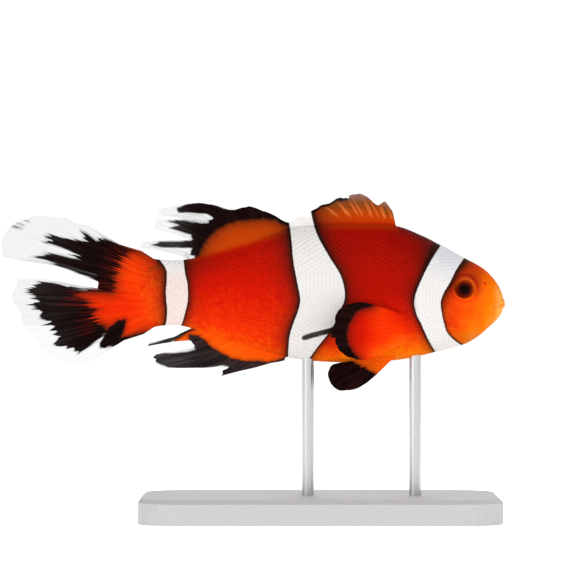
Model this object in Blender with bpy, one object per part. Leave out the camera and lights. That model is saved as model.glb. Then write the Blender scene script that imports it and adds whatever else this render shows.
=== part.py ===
"""Clownfish, life size, as a still display model held by a plain rod stand.

The fish is the long-finned form of the common clownfish. Its snout points along +X,
its back along +Z, and its right side faces -Y. The origin is the centre of the
underside of the stand's base. Sizes below are in millimetres.
"""

import math

import bpy
import bmesh
from mathutils import Matrix, Vector

MM = 0.001

# ---------------------------------------------------------------- driving sizes

# Body stations, tail end to snout: place along the body, back, belly, half width.
BODY_STATIONS = (
    (-33.6, 52.4, 38.4, 1.0),
    (-31.5, 52.1, 38.8, 1.5),
    (-28.5, 52.0, 38.9, 1.8),
    (-25.0, 52.5, 38.1, 2.3),
    (-20.0, 53.8, 36.4, 3.0),
    (-15.0, 55.3, 34.8, 3.7),
    (-10.0, 57.1, 33.4, 4.3),
    (-5.0, 58.7, 32.2, 4.8),
    (1.0, 59.1, 31.6, 5.2),
    (8.0, 59.2, 31.5, 5.6),
    (15.0, 58.9, 31.9, 5.9),
    (20.0, 57.1, 32.8, 5.9),
    (24.0, 55.1, 33.8, 5.6),
    (28.4, 52.7, 35.0, 4.7),
    (31.4, 51.1, 36.6, 3.8),
    (33.8, 49.3, 38.6, 2.9),
    (35.8, 46.7, 40.6, 1.9),
    (36.8, 44.0, 42.6, 0.7),
)
STEPS_PER_STATION = 2
RING_POINTS = 32
BACK_KEEL = 0.35
BELLY_KEEL = 0.10

GAP = 0.30
GILL_X, GILL_CURVE, GILL_Z = 18.9, 0.042, 44.0
VENT_X, VENT_CURVE, VENT_Z = -4.1, -0.0095, 44.0

# Gill cover plate: centre and half sizes of its oval, and its inner plane.
COVER_X, COVER_Z, COVER_A, COVER_C = 19.6, 43.6, 6.8, 8.2
COVER_INNER_Y = 3.6

# Lower jaw: mouth corner, snout side of the gape and where the jaw meets the chin.
MOUTH_CORNER = (34.2, 42.3)
GAPE_FRONT = (38.0, 43.5)
CHIN_JOINT = (32.0, 35.5)

# Eyes: centre, radius in profile, half thickness and clearance in the socket.
EYE_X, EYE_Y, EYE_Z = 29.0, 2.95, 46.3
EYE_RADIUS, EYE_HALF_DEPTH, EYE_CLEARANCE = 2.45, 1.75, 0.20

# Fin thickness at root and tip, and how far the tails of the fins sway sideways.
FIN_ROOT_THICKNESS, FIN_TIP_THICKNESS = 1.0, 0.55
PAIRED_FIN_THICKNESS = 0.6
SWAY_START_X, SWAY_LENGTH, SWAY_SIZE = -14.0, 26.0, 1.3
TAIL_SWAY_START_X, TAIL_SWAY_FULL_X = -33.5, -43.0

# Fin rays. Dorsal and anal rows: root along the body, tip along, tip height, bow.
SPINY_DORSAL_RAYS = (
    (15.4, 14.5, 61.8, 0.0),
    (14.6, 12.8, 63.8, 0.3),
    (13.8, 11.6, 63.0, 0.3),
    (12.8, 10.0, 64.2, 0.4),
    (11.7, 8.8, 65.1, 0.4),
    (10.6, 7.4, 65.4, 0.4),
    (9.6, 5.8, 64.9, 0.4),
    (9.1, 5.6, 64.4, 0.4),
    (7.9, 4.1, 64.6, 0.4),
    (6.6, 1.8, 63.5, 0.4),
    (5.4, 0.0, 62.9, 0.4),
    (3.6, -1.9, 61.6, 0.3),
    (0.6, -1.4, 60.4, 0.0),
    (-1.4, -2.4, 60.6, 0.0),
    (-3.6, -4.0, 60.7, 0.0),
    (-5.9, -6.1, 60.4, 0.0),
)
SOFT_DORSAL_RAYS = (
    (-6.3, -6.5, 60.4, 0.0),
    (-7.4, -9.2, 61.2, 0.0),
    (-8.8, -12.0, 62.1, 0.2),
    (-10.6, -14.6, 62.6, 0.3),
    (-12.0, -17.4, 61.9, 0.6),
    (-13.6, -20.2, 62.8, 1.2),
    (-15.0, -24.0, 63.5, 2.4),
    (-16.0, -32.6, 62.0, 3.8),
    (-16.8, -32.6, 61.0, 3.4),
    (-17.6, -25.2, 61.2, 2.4),
    (-18.4, -21.4, 60.0, 0.8),
    (-19.4, -26.8, 59.8, 2.2),
    (-20.2, -33.2, 59.8, 2.6),
    (-21.0, -33.2, 58.4, 2.2),
    (-21.8, -28.4, 57.2, 1.4),
    (-22.8, -25.4, 55.9, 0.5),
    (-23.6, -30.4, 55.7, 1.3),
    (-24.4, -36.0, 55.4, 1.6),
    (-25.0, -36.0, 54.6, 1.3),
    (-25.6, -26.8, 54.0, 0.2),
    (-26.4, -27.2, 53.0, 0.0),
)
ANAL_RAYS = (
    (-6.4, -7.2, 31.8, 0.0),
    (-7.8, -9.4, 31.4, 0.0),
    (-9.4, -13.6, 30.3, 0.4),
    (-10.8, -19.8, 28.9, 0.8),
    (-12.0, -17.2, 30.4, 0.6),
    (-13.6, -23.4, 30.4, 1.4),
    (-15.6, -30.9, 30.6, 2.0),
    (-17.6, -33.4, 32.2, 2.0),
    (-19.2, -32.6, 33.3, 1.7),
    (-20.6, -25.6, 34.2, 0.4),
    (-21.8, -25.6, 36.0, 0.2),
    (-22.8, -26.4, 36.3, 0.0),
    (-23.6, -34.8, 34.6, 0.8),
    (-24.6, -34.8, 35.5, 0.9),
    (-25.6, -29.0, 37.2, 0.0),
    (-26.4, -26.9, 38.1, 0.0),
)

# Tail fin ray tips, top to bottom, fanned from the end of the tail stalk.
TAIL_ROOT_X, TAIL_ROOT_TOP, TAIL_ROOT_BOTTOM = -33.9, 52.5, 38.3
TAIL_TIPS = (
    (-35.8, 53.5),
    (-39.6, 54.9),
    (-43.6, 56.8),
    (-46.4, 58.9),
    (-49.4, 59.8),
    (-52.0, 60.7),
    (-55.6, 60.8),
    (-59.2, 60.4),
    (-61.8, 58.7),
    (-63.8, 57.0),
    (-63.6, 52.7),
    (-57.0, 52.0),
    (-52.4, 50.6),
    (-47.2, 48.5),
    (-45.2, 47.4),
    (-46.4, 46.6),
    (-52.0, 47.5),
    (-57.0, 48.4),
    (-61.2, 47.9),
    (-61.8, 45.4),
    (-61.0, 42.0),
    (-59.4, 38.6),
    (-57.2, 35.2),
    (-53.8, 32.4),
    (-50.2, 31.0),
    (-47.6, 30.8),
    (-44.2, 32.8),
    (-41.0, 35.5),
    (-38.0, 36.8),
    (-35.4, 37.8),
)

# Pectoral fin: root line on the flank, ray tips from the upper edge to the lower.
PECTORAL_ROOT_TOP, PECTORAL_ROOT_BOTTOM = (17.4, 40.6), (16.8, 35.4)
PECTORAL_FLARE = 0.24
PECTORAL_TIPS = (
    (13.6, 42.2),
    (11.0, 42.9),
    (8.4, 43.5),
    (6.4, 43.0),
    (4.8, 41.9),
    (3.6, 40.4),
    (3.1, 38.6),
    (-3.4, 36.7),
    (-3.8, 35.9),
    (3.0, 37.1),
    (3.2, 35.6),
    (4.2, 34.0),
    (6.0, 32.8),
    (8.4, 32.3),
    (11.0, 32.7),
    (13.6, 33.9),
)

# Pelvic fin: root line under the breast, ray tips from the front edge round the blade.
PELVIC_ROOT_FRONT, PELVIC_ROOT_REAR, PELVIC_ROOT_Y = 14.9, 10.6, 1.7
PELVIC_FLARE = 0.22
PELVIC_TIPS = (
    (10.8, 29.0),
    (9.0, 27.4),
    (6.8, 26.2),
    (4.4, 25.9),
    (2.6, 27.0),
    (1.8, 29.2),
    (2.6, 31.0),
    (5.0, 31.5),
    (8.0, 31.5),
)

# Stand: base plate, rods and how deep the rods reach into their sockets.
BASE_LENGTH, BASE_WIDTH, BASE_HEIGHT, BASE_CORNER = 72.0, 40.0, 5.0, 8.0
BASE_EDGE = 0.8
ROD_PLACES = {"front": 19.0, "rear": -2.4}
ROD_RADIUS, SOCKET_DEPTH, SOCKET_CLEARANCE = 1.2, 2.4, 0.15
ROD_SIDES = 24

# Colours (linear), roughness and metallic value of each material.
ORANGE = ((0.90, 0.10, 0.003), 0.35, 0.0)
DEEP_RED = ((0.55, 0.02, 0.002), 0.35, 0.0)
WHITE = ((0.85, 0.84, 0.83), 0.35, 0.0)
BLACK_FIN = ((0.03, 0.012, 0.008), 0.45, 0.0)
DARK_EYE = ((0.02, 0.008, 0.006), 0.08, 0.0)
STAND_GREY = ((0.72, 0.72, 0.71), 0.5, 0.0)
STEEL = ((0.62, 0.62, 0.63), 0.3, 1.0)


# ---------------------------------------------------------------- shared helpers

def clear_scene():
    for item in list(bpy.data.objects):
        bpy.data.objects.remove(item, do_unlink=True)


def make_material(name, recipe):
    colour, roughness, metallic = recipe
    material = bpy.data.materials.new(name)
    material.use_nodes = True
    shader = material.node_tree.nodes["Principled BSDF"]
    shader.inputs["Base Color"].default_value = (*colour, 1.0)
    shader.inputs["Roughness"].default_value = roughness
    shader.inputs["Metallic"].default_value = metallic
    return material


def add_object(name, mesh_builder, recipe=None):
    """Turn a bmesh measured in millimetres into a named object measured in metres."""
    bmesh.ops.recalc_face_normals(mesh_builder, faces=mesh_builder.faces)
    bmesh.ops.scale(mesh_builder, vec=Vector((MM, MM, MM)), verts=mesh_builder.verts)
    mesh = bpy.data.meshes.new(name)
    mesh_builder.to_mesh(mesh)
    mesh_builder.free()
    mesh.shade_smooth()
    mesh.set_sharp_from_angle(angle=math.radians(40))
    item = bpy.data.objects.new(name, mesh)
    bpy.context.scene.collection.objects.link(item)
    if recipe is not None:
        mesh.materials.append(make_material(name, recipe))
    return item


def grid_solid(mesh_builder, layers_near, layers_far):
    """Close two matching grids of points, near side and far side, into one solid."""
    near = [[mesh_builder.verts.new(point) for point in row] for row in layers_near]
    far = [[mesh_builder.verts.new(point) for point in row] for row in layers_far]
    last_row, last_column = len(near) - 1, len(near[0]) - 1
    for i in range(last_row):
        for j in range(last_column):
            mesh_builder.faces.new((near[i][j], near[i + 1][j], near[i + 1][j + 1], near[i][j + 1]))
            mesh_builder.faces.new((far[i][j], far[i][j + 1], far[i + 1][j + 1], far[i + 1][j]))
    for i in range(last_row):
        for j in (0, last_column):
            mesh_builder.faces.new((near[i][j], far[i][j], far[i + 1][j], near[i + 1][j]))
    for j in range(last_column):
        for i in (0, last_row):
            mesh_builder.faces.new((near[i][j], near[i][j + 1], far[i][j + 1], far[i][j]))


def prism(name, outline, y_low, y_high):
    """Straight prism along Y over an outline of (x, z) points."""
    mesh_builder = bmesh.new()
    low = [mesh_builder.verts.new((x, y_low, z)) for x, z in outline]
    face = mesh_builder.faces.new(low)
    swept = bmesh.ops.extrude_face_region(mesh_builder, geom=[face])
    moved = [item for item in swept["geom"] if isinstance(item, bmesh.types.BMVert)]
    bmesh.ops.translate(mesh_builder, vec=Vector((0, y_high - y_low, 0)), verts=moved)
    return add_object(name, mesh_builder)


def combine(target, cutter, operation):
    """Apply one exact Boolean and drop the cutter."""
    modifier = target.modifiers.new(operation.title(), "BOOLEAN")
    modifier.operation = operation
    modifier.solver = "EXACT"
    modifier.object = cutter
    depsgraph = bpy.context.evaluated_depsgraph_get()
    mesh = bpy.data.meshes.new_from_object(target.evaluated_get(depsgraph))
    target.modifiers.clear()
    target.data = mesh
    bpy.data.objects.remove(cutter, do_unlink=True)


def copy_of(item, name):
    twin = bpy.data.objects.new(name, item.data.copy())
    bpy.context.scene.collection.objects.link(twin)
    return twin


def paint(item, recipe):
    item.data.materials.clear()
    item.data.materials.append(make_material(item.name, recipe))


# ---------------------------------------------------------------- body shape

def body_profile():
    """Stations smoothed along the body: rows of (x, back, belly, half width)."""
    rows = []
    last = len(BODY_STATIONS) - 1
    for index in range(last):
        before = BODY_STATIONS[max(index - 1, 0)]
        start, end = BODY_STATIONS[index], BODY_STATIONS[index + 1]
        after = BODY_STATIONS[min(index + 2, last)]
        for step in range(STEPS_PER_STATION):
            t = step / STEPS_PER_STATION
            rows.append(tuple(
                0.5 * (2 * b + (c - a) * t + (2 * a - 5 * b + 4 * c - d) * t * t
                       + (3 * b - a - 3 * c + d) * t ** 3)
                for a, b, c, d in zip(before, start, end, after)))
    rows.append(BODY_STATIONS[last])
    return rows


def body_at(x):
    """Back height, belly height and half width at one place along the body."""
    rows = body_profile()
    x = min(max(x, rows[0][0]), rows[-1][0])
    for low, high in zip(rows, rows[1:]):
        if x <= high[0]:
            share = (x - low[0]) / (high[0] - low[0])
            return tuple(a + (b - a) * share for a, b in zip(low[1:], high[1:]))
    return rows[-1][1:]


def section_width(rise):
    """Share of the half width at a rise of -1 (belly) to 1 (back) on a section."""
    level = math.sqrt(max(1.0 - rise * rise, 0.0))
    keel = BACK_KEEL * max(rise, 0.0) ** 2 + BELLY_KEEL * max(-rise, 0.0) ** 2
    return level ** (1.0 + keel)


def flank_y(x, z):
    """Half width of the body's surface at a place seen from the side."""
    back, belly, half_width = body_at(x)
    rise = (z - (back + belly) / 2) / ((back - belly) / 2)
    return half_width * section_width(min(max(rise, -1.0), 1.0))


def body_solid():
    mesh_builder = bmesh.new()
    rings = []
    for x, back, belly, half_width in body_profile():
        middle, half_height = (back + belly) / 2, (back - belly) / 2
        ring = []
        for k in range(RING_POINTS):
            angle = 2 * math.pi * k / RING_POINTS
            rise = math.cos(angle)
            side = math.copysign(half_width * section_width(rise), math.sin(angle))
            if k % (RING_POINTS // 2) == 0:
                side = 0.0
            ring.append(mesh_builder.verts.new((x, side, middle + half_height * rise)))
        rings.append(ring)
    for ring, following in zip(rings, rings[1:]):
        for k in range(RING_POINTS):
            n = (k + 1) % RING_POINTS
            mesh_builder.faces.new((ring[k], ring[n], following[n], following[k]))
    mesh_builder.faces.new(rings[0])
    mesh_builder.faces.new(rings[-1])
    return add_object("body", mesh_builder)


# ---------------------------------------------------------------- flesh nodes

def side_region(place, curve, level, towards):
    """Outline of everything on one side of a curved cut, less half the gap."""
    heights = [26.0 + 3.0 * k for k in range(14)]
    edge = [(place + curve * (z - level) ** 2 + towards * GAP / 2, z) for z in heights]
    far = towards * 90.0
    return edge + [(far, heights[-1]), (far, heights[0])]


def oval(centre_x, centre_z, half_x, half_z, points=28):
    turn = 2 * math.pi / points
    return [(centre_x + half_x * math.cos(turn * k), centre_z + half_z * math.sin(turn * k))
            for k in range(points)]


def eye_solid(name, side, swell=0.0):
    size = (EYE_RADIUS + swell, EYE_HALF_DEPTH + swell, EYE_RADIUS + swell)
    place = Matrix.Translation((EYE_X, side * EYE_Y, EYE_Z))
    shape = place @ Matrix.Diagonal((*size, 1.0)) @ Matrix.Rotation(math.pi / 2, 4, "X")
    mesh_builder = bmesh.new()
    bmesh.ops.create_uvsphere(mesh_builder, u_segments=20, v_segments=12, radius=1.0, matrix=shape)
    return add_object(name, mesh_builder)


def rod_solid(name, x, low, high, radius):
    mesh_builder = bmesh.new()
    bmesh.ops.create_cone(mesh_builder, cap_ends=True, segments=ROD_SIDES,
                          radius1=radius, radius2=radius, depth=high - low)
    bmesh.ops.translate(mesh_builder, vec=Vector((x, 0, (low + high) / 2)), verts=mesh_builder.verts)
    return add_object(name, mesh_builder)


def make_head(body):
    head = copy_of(body, "head")
    combine(head, prism("front", side_region(GILL_X, GILL_CURVE, GILL_Z, 1), -9, 9), "INTERSECT")
    for side, word in ((-1, "right"), (1, "left")):
        combine(head, eye_solid("socket", side, EYE_CLEARANCE), "DIFFERENCE")
        cover = copy_of(head, "gill_cover_" + word)
        inner, outer = side * COVER_INNER_Y, side * 9.0
        plate = oval(COVER_X, COVER_Z, COVER_A, COVER_C)
        combine(cover, prism("plate", plate, inner, outer), "INTERSECT")
        recess = oval(COVER_X, COVER_Z, COVER_A + GAP, COVER_C + GAP)
        combine(head, prism("recess", recess, inner - side * GAP, outer), "DIFFERENCE")
        paint(cover, WHITE)
    make_lower_jaw(head)
    paint(head, ORANGE)
    return head


def make_lower_jaw(head):
    jaw = copy_of(head, "lower_jaw")
    front_x = GAPE_FRONT[0]
    low_z = CHIN_JOINT[1] - 2
    outline = [MOUTH_CORNER, GAPE_FRONT, (front_x, low_z), (CHIN_JOINT[0], low_z), CHIN_JOINT]
    grown = [(MOUTH_CORNER[0] - GAP, MOUTH_CORNER[1] + GAP), (front_x, GAPE_FRONT[1] + GAP),
             (front_x, low_z), (CHIN_JOINT[0] - GAP, low_z), (CHIN_JOINT[0] - GAP, CHIN_JOINT[1])]
    combine(jaw, prism("jaw_region", outline, -9, 9), "INTERSECT")
    combine(head, prism("jaw_space", grown, -9, 9), "DIFFERENCE")
    paint(jaw, ORANGE)


def make_trunk_and_tail_stalk(body):
    trunk = copy_of(body, "trunk")
    combine(trunk, prism("behind_gills", side_region(GILL_X, GILL_CURVE, GILL_Z, -1), -9, 9), "INTERSECT")
    tail_stalk = copy_of(trunk, "tail_stalk")
    combine(trunk, prism("before_vent", side_region(VENT_X, VENT_CURVE, VENT_Z, 1), -9, 9), "INTERSECT")
    combine(tail_stalk, prism("behind_vent", side_region(VENT_X, VENT_CURVE, VENT_Z, -1), -9, 9), "INTERSECT")
    for x in ROD_PLACES.values():
        socket_top = rod_top(x) + SOCKET_CLEARANCE
        socket = rod_solid("socket", x, BASE_HEIGHT, socket_top, ROD_RADIUS + SOCKET_CLEARANCE)
        combine(trunk, socket, "DIFFERENCE")
    paint(trunk, DEEP_RED)
    paint(tail_stalk, DEEP_RED)


# ---------------------------------------------------------------- fins

def sway(x, z):
    """Sideways drift of the tails of the long fins, still near the body."""
    reach = max(SWAY_START_X - x, 0.0) / SWAY_LENGTH
    return SWAY_SIZE * math.sin(1.9 * reach + 0.08 * (z - 45.0)) * min(reach, 1.0) ** 1.5


def tail_sway(x, z):
    """Sway of the tail fin, whose root stays in line with the stalk's end."""
    share = (TAIL_SWAY_START_X - x) / (TAIL_SWAY_START_X - TAIL_SWAY_FULL_X)
    share = min(max(share, 0.0), 1.0)
    return sway(x, z) * share * share * (3 - 2 * share)


def ray_points(root, tip, bow, steps):
    """Points along one ray, bowed forwards and outwards from the straight line."""
    along = tip - root
    outward = Vector((-along.z, 0.0, along.x)).normalized()
    if outward.x < 0:
        outward = -outward
    knee = (root + tip) / 2 + outward * bow
    points = []
    for k in range(steps + 1):
        t = k / steps
        points.append(root * (1 - t) ** 2 + knee * (2 * t * (1 - t)) + tip * t * t)
    return points


def fin_solid(name, rays, root_thickness, tip_thickness, recipe):
    """A closed fin from rows of ray points, thinning from the root to the tips."""
    near, far = [], []
    for ray in rays:
        last = len(ray) - 1
        halves = [(root_thickness + (tip_thickness - root_thickness) * k / last) / 2
                  for k in range(last + 1)]
        near.append([point - Vector((0, half, 0)) for point, half in zip(ray, halves)])
        far.append([point + Vector((0, half, 0)) for point, half in zip(ray, halves)])
    mesh_builder = bmesh.new()
    grid_solid(mesh_builder, near, far)
    return add_object(name, mesh_builder, recipe)


def make_median_fin(name, table, edge, recipe, steps):
    """Dorsal or anal fin: edge 0 follows the back, edge 1 the belly."""
    offset = GAP if edge == 0 else -GAP
    rays = []
    for root_x, tip_x, tip_z, bow in table:
        root = Vector((root_x, 0.0, body_at(root_x)[edge] + offset))
        points = ray_points(root, Vector((tip_x, 0.0, tip_z)), bow, steps)
        rays.append([point + Vector((0, sway(point.x, point.z), 0)) for point in points])
    fin_solid(name, rays, FIN_ROOT_THICKNESS, FIN_TIP_THICKNESS, recipe)


def make_tail_fin():
    last = len(TAIL_TIPS) - 1
    rays = []
    for index, (tip_x, tip_z) in enumerate(TAIL_TIPS):
        root_z = TAIL_ROOT_TOP + (TAIL_ROOT_BOTTOM - TAIL_ROOT_TOP) * index / last
        points = ray_points(Vector((TAIL_ROOT_X, 0, root_z)), Vector((tip_x, 0, tip_z)), 0.0, 7)
        rays.append([point + Vector((0, tail_sway(point.x, point.z), 0)) for point in points])
    fin_solid("caudal_fin", rays, FIN_ROOT_THICKNESS * 1.4, FIN_TIP_THICKNESS, ORANGE)


def make_pectoral_fin(name, side):
    last = len(PECTORAL_TIPS) - 1
    rays = []
    for index, (tip_x, tip_z) in enumerate(PECTORAL_TIPS):
        share = index / last
        root_x = PECTORAL_ROOT_TOP[0] + (PECTORAL_ROOT_BOTTOM[0] - PECTORAL_ROOT_TOP[0]) * share
        root_z = PECTORAL_ROOT_TOP[1] + (PECTORAL_ROOT_BOTTOM[1] - PECTORAL_ROOT_TOP[1]) * share
        clear = flank_y(root_x, root_z) + GAP + PAIRED_FIN_THICKNESS / 2
        ray = []
        for point in ray_points(Vector((root_x, 0, root_z)), Vector((tip_x, 0, tip_z)), 0.0, 5):
            flare = PECTORAL_FLARE * (root_x - point.x)
            ray.append(Vector((point.x, side * (clear + flare), point.z)))
        rays.append(ray)
    fin_solid(name, rays, PAIRED_FIN_THICKNESS, PAIRED_FIN_THICKNESS, ORANGE)


def make_pelvic_fin(name, side):
    last = len(PELVIC_TIPS) - 1
    rays = []
    for index, (tip_x, tip_z) in enumerate(PELVIC_TIPS):
        root_x = PELVIC_ROOT_FRONT + (PELVIC_ROOT_REAR - PELVIC_ROOT_FRONT) * index / last
        root_z = body_at(root_x)[1] - GAP
        ray = []
        for point in ray_points(Vector((root_x, 0, root_z)), Vector((tip_x, 0, tip_z)), 0.0, 5):
            distance = math.hypot(point.x - root_x, point.z - root_z)
            ray.append(Vector((point.x, side * (PELVIC_ROOT_Y + PELVIC_FLARE * distance), point.z)))
        rays.append(ray)
    fin_solid(name, rays, PAIRED_FIN_THICKNESS, PAIRED_FIN_THICKNESS, BLACK_FIN)


# ---------------------------------------------------------------- stand

def rod_top(x):
    return body_at(x)[1] + SOCKET_DEPTH


def make_stand_base():
    """Flat plate with rounded corners and a softened upper edge."""
    outline = []
    half_x, half_y = BASE_LENGTH / 2 - BASE_CORNER, BASE_WIDTH / 2 - BASE_CORNER
    for corner, (sign_x, sign_y) in enumerate(((1, 1), (-1, 1), (-1, -1), (1, -1))):
        for step in range(7):
            angle = math.pi / 2 * (corner + step / 6)
            outline.append((sign_x * half_x + BASE_CORNER * math.cos(angle),
                            sign_y * half_y + BASE_CORNER * math.sin(angle)))
    mesh_builder = bmesh.new()
    levels = ((0.0, 0.0), (BASE_HEIGHT - BASE_EDGE, 0.0), (BASE_HEIGHT, BASE_EDGE))
    rings = []
    for z, inset in levels:
        shrink_x, shrink_y = 1 - 2 * inset / BASE_LENGTH, 1 - 2 * inset / BASE_WIDTH
        rings.append([mesh_builder.verts.new((x * shrink_x, y * shrink_y, z)) for x, y in outline])
    count = len(outline)
    for ring, following in zip(rings, rings[1:]):
        for k in range(count):
            n = (k + 1) % count
            mesh_builder.faces.new((ring[k], ring[n], following[n], following[k]))
    mesh_builder.faces.new(rings[0])
    mesh_builder.faces.new(rings[-1])
    add_object("stand_base", mesh_builder, STAND_GREY)


def make_stand_rods():
    for word, x in ROD_PLACES.items():
        rod = rod_solid("stand_rod_" + word, x, BASE_HEIGHT + 0.01, rod_top(x), ROD_RADIUS)
        paint(rod, STEEL)


# ---------------------------------------------------------------- whole model

def make_clownfish():
    body = body_solid()
    make_head(body)
    make_trunk_and_tail_stalk(body)
    bpy.data.objects.remove(body, do_unlink=True)
    make_median_fin("dorsal_fin_spiny", SPINY_DORSAL_RAYS, 0, ORANGE, 4)
    make_median_fin("dorsal_fin_soft", SOFT_DORSAL_RAYS, 0, BLACK_FIN, 6)
    make_median_fin("anal_fin", ANAL_RAYS, 1, BLACK_FIN, 6)
    make_tail_fin()
    for side, word in ((-1, "right"), (1, "left")):
        make_pectoral_fin("pectoral_fin_" + word, side)
        make_pelvic_fin("pelvic_fin_" + word, side)
        paint(eye_solid("eye_" + word, side), DARK_EYE)


def main():
    clear_scene()
    make_clownfish()
    make_stand_base()
    make_stand_rods()


main()
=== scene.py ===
"""The looks of the life-size clownfish: skin, scales, fins, eyes, stand finish, light and camera.

Lengths are millimetres until a mesh or a light is made. x runs towards the snout, z is up,
and the fish's right side faces -y. On the body, rise runs from -1 (belly) to 1 (back).
"""
import math

import bpy
import numpy as np
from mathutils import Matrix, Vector


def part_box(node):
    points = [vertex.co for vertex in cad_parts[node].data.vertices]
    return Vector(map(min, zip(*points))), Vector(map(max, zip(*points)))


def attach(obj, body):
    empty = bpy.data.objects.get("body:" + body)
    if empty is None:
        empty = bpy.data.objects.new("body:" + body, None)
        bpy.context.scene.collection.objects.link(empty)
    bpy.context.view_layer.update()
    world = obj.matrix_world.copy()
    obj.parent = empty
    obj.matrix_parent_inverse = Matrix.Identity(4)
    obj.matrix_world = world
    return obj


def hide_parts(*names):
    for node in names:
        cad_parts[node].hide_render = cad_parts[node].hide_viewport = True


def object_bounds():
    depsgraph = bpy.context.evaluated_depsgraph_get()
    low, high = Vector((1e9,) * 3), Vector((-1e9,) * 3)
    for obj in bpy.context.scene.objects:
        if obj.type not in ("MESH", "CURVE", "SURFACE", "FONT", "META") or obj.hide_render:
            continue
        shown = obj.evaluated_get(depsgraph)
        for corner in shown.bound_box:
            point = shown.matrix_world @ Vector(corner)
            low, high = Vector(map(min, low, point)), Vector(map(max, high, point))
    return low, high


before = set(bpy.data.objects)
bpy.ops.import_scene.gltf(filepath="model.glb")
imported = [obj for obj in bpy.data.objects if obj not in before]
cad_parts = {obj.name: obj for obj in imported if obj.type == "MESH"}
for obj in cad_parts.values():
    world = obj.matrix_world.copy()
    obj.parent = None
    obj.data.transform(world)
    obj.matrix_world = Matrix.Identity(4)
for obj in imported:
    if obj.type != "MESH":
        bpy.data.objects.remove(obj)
cad_low, cad_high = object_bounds()

MM = 0.001
RIGHT, LEFT = -1, 1
FAR = 99.0

# ---------------------------------------------------------------- body form

# Rows of (place along the body, back, belly, half width), tail to snout.
BODY_STATIONS = (
    (-36.8, 53.9, 37.3, 0.18), (-35.2, 53.2, 37.9, 0.55), (-33.6, 52.4, 38.4, 1),
    (-31.5, 52.1, 38.8, 1.5), (-28.5, 52, 38.9, 1.8), (-25, 52.5, 38.1, 2.3), (-20, 53.8, 36.4, 3),
    (-15, 55.3, 34.8, 3.7), (-10, 57.1, 33.4, 4.3), (-5, 58.7, 32.2, 4.8), (1, 59.1, 31.6, 5.2),
    (8, 59.2, 31.5, 5.6), (15, 58.9, 31.9, 5.9), (20, 57.1, 32.8, 5.9), (24, 55.1, 33.8, 5.6),
    (28.4, 52.7, 35, 4.7), (31.4, 51.1, 36.6, 3.8), (33.8, 49.3, 38.6, 2.9), (35.8, 46.7, 40.6, 1.9),
    (36.8, 44, 42.6, 0.7), (36.95, 43.5, 43.1, 0.2),
)
BODY_STEPS, EDGE_STEPS = 40, 12
BACK_KEEL, BELLY_KEEL = 0.35, 0.1
COAT_DEPTH = 0.1
GILL_X, GILL_CURVE, GILL_Z = 18.9, 0.042, 44.0
CHEEK_X, CHEEK_CURVE = 25.7, 0.04
MOUTH_X, MOUTH_Z, MOUTH_SLOPE = 34.2, 42.3, 0.4
NOSTRIL_X, NOSTRIL_Z = 32.9, 47.4
PECTORAL_BASE_X, PECTORAL_BASE_Z = 17.6, 38.0
ORBIT_ABOVE, ORBIT_RADIUS, ORBIT_BARE = 0.1, 1.86, 1.0
# The face is bare in front of a bent line: its furthest place, height and slope, and its shift above.
FACE_X, FACE_Z, FACE_SLOPE, FACE_SHIFT = 32.0, 45.0, 0.34, 1.8
GAZE_BACK, GAZE_DOWN, PUPIL_RADIUS, PUPIL_DOME = 0.3, 0.16, 1.0, 0.07
EYE_RINGS, EYE_TURNS, EYE_WRAP = 48, 96, 1.25

eye_low, eye_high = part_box("eye_right")
EYE = (np.array(eye_low) + np.array(eye_high)) / 2 / MM - (GAZE_BACK, 0, 0)
EYE_RADIUS = (eye_high.x - eye_low.x) / 2 / MM
EYE_HALF_DEPTH = (eye_high.y - eye_low.y) / 2 / MM

# ---------------------------------------------------------------- markings

# Edges of the white bars, front then rear: rows of (height, place along the body).
BARS = (
    (((35, 28.2), (36, 26.7), (37.4, 25.35), (39, 24.7), (41, 24.2), (43.4, 23.9), (45.4, 24.5),
      (47.4, 25.7), (50, 27.05), (52.4, 28.8)),
     ((33.6, 23.1), (35.4, 21.9), (37.4, 20.9), (39.4, 20), (41.2, 19.1), (43.6, 18.65), (46, 19.2),
      (48.6, 20.35), (50.8, 21.45), (52.8, 22.65), (55.2, 24.3))),
    (((32, -2.4), (34.8, -0.4), (37.4, 1.65), (39, 2.65), (40.6, 3.3), (42.2, 4.05), (44, 4.8),
      (46.4, 4.75), (49.2, 3.9), (52.2, 2.05), (55.4, 0.2), (57.6, -0.8), (60, -1.5), (62, -1.9)),
     ((32.4, -6.4), (36.6, -6.1), (39.4, -5.3), (41.8, -4.4), (44.2, -3.95), (48, -4.65), (51.6, -5.3),
      (56, -5.7), (60, -6.2))),
    (((38.8, -27.8), (40.4, -27.25), (42, -26.8), (44, -26.4), (47, -26.45), (49.6, -27), (52.2, -27.3)),
     ((38.6, -31), (40, -30.66), (42, -30.52), (44, -30.68), (46, -30.76), (48, -30.6), (50, -30.7),
      (51.6, -31.7), (52.6, -32.6))),
)
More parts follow.
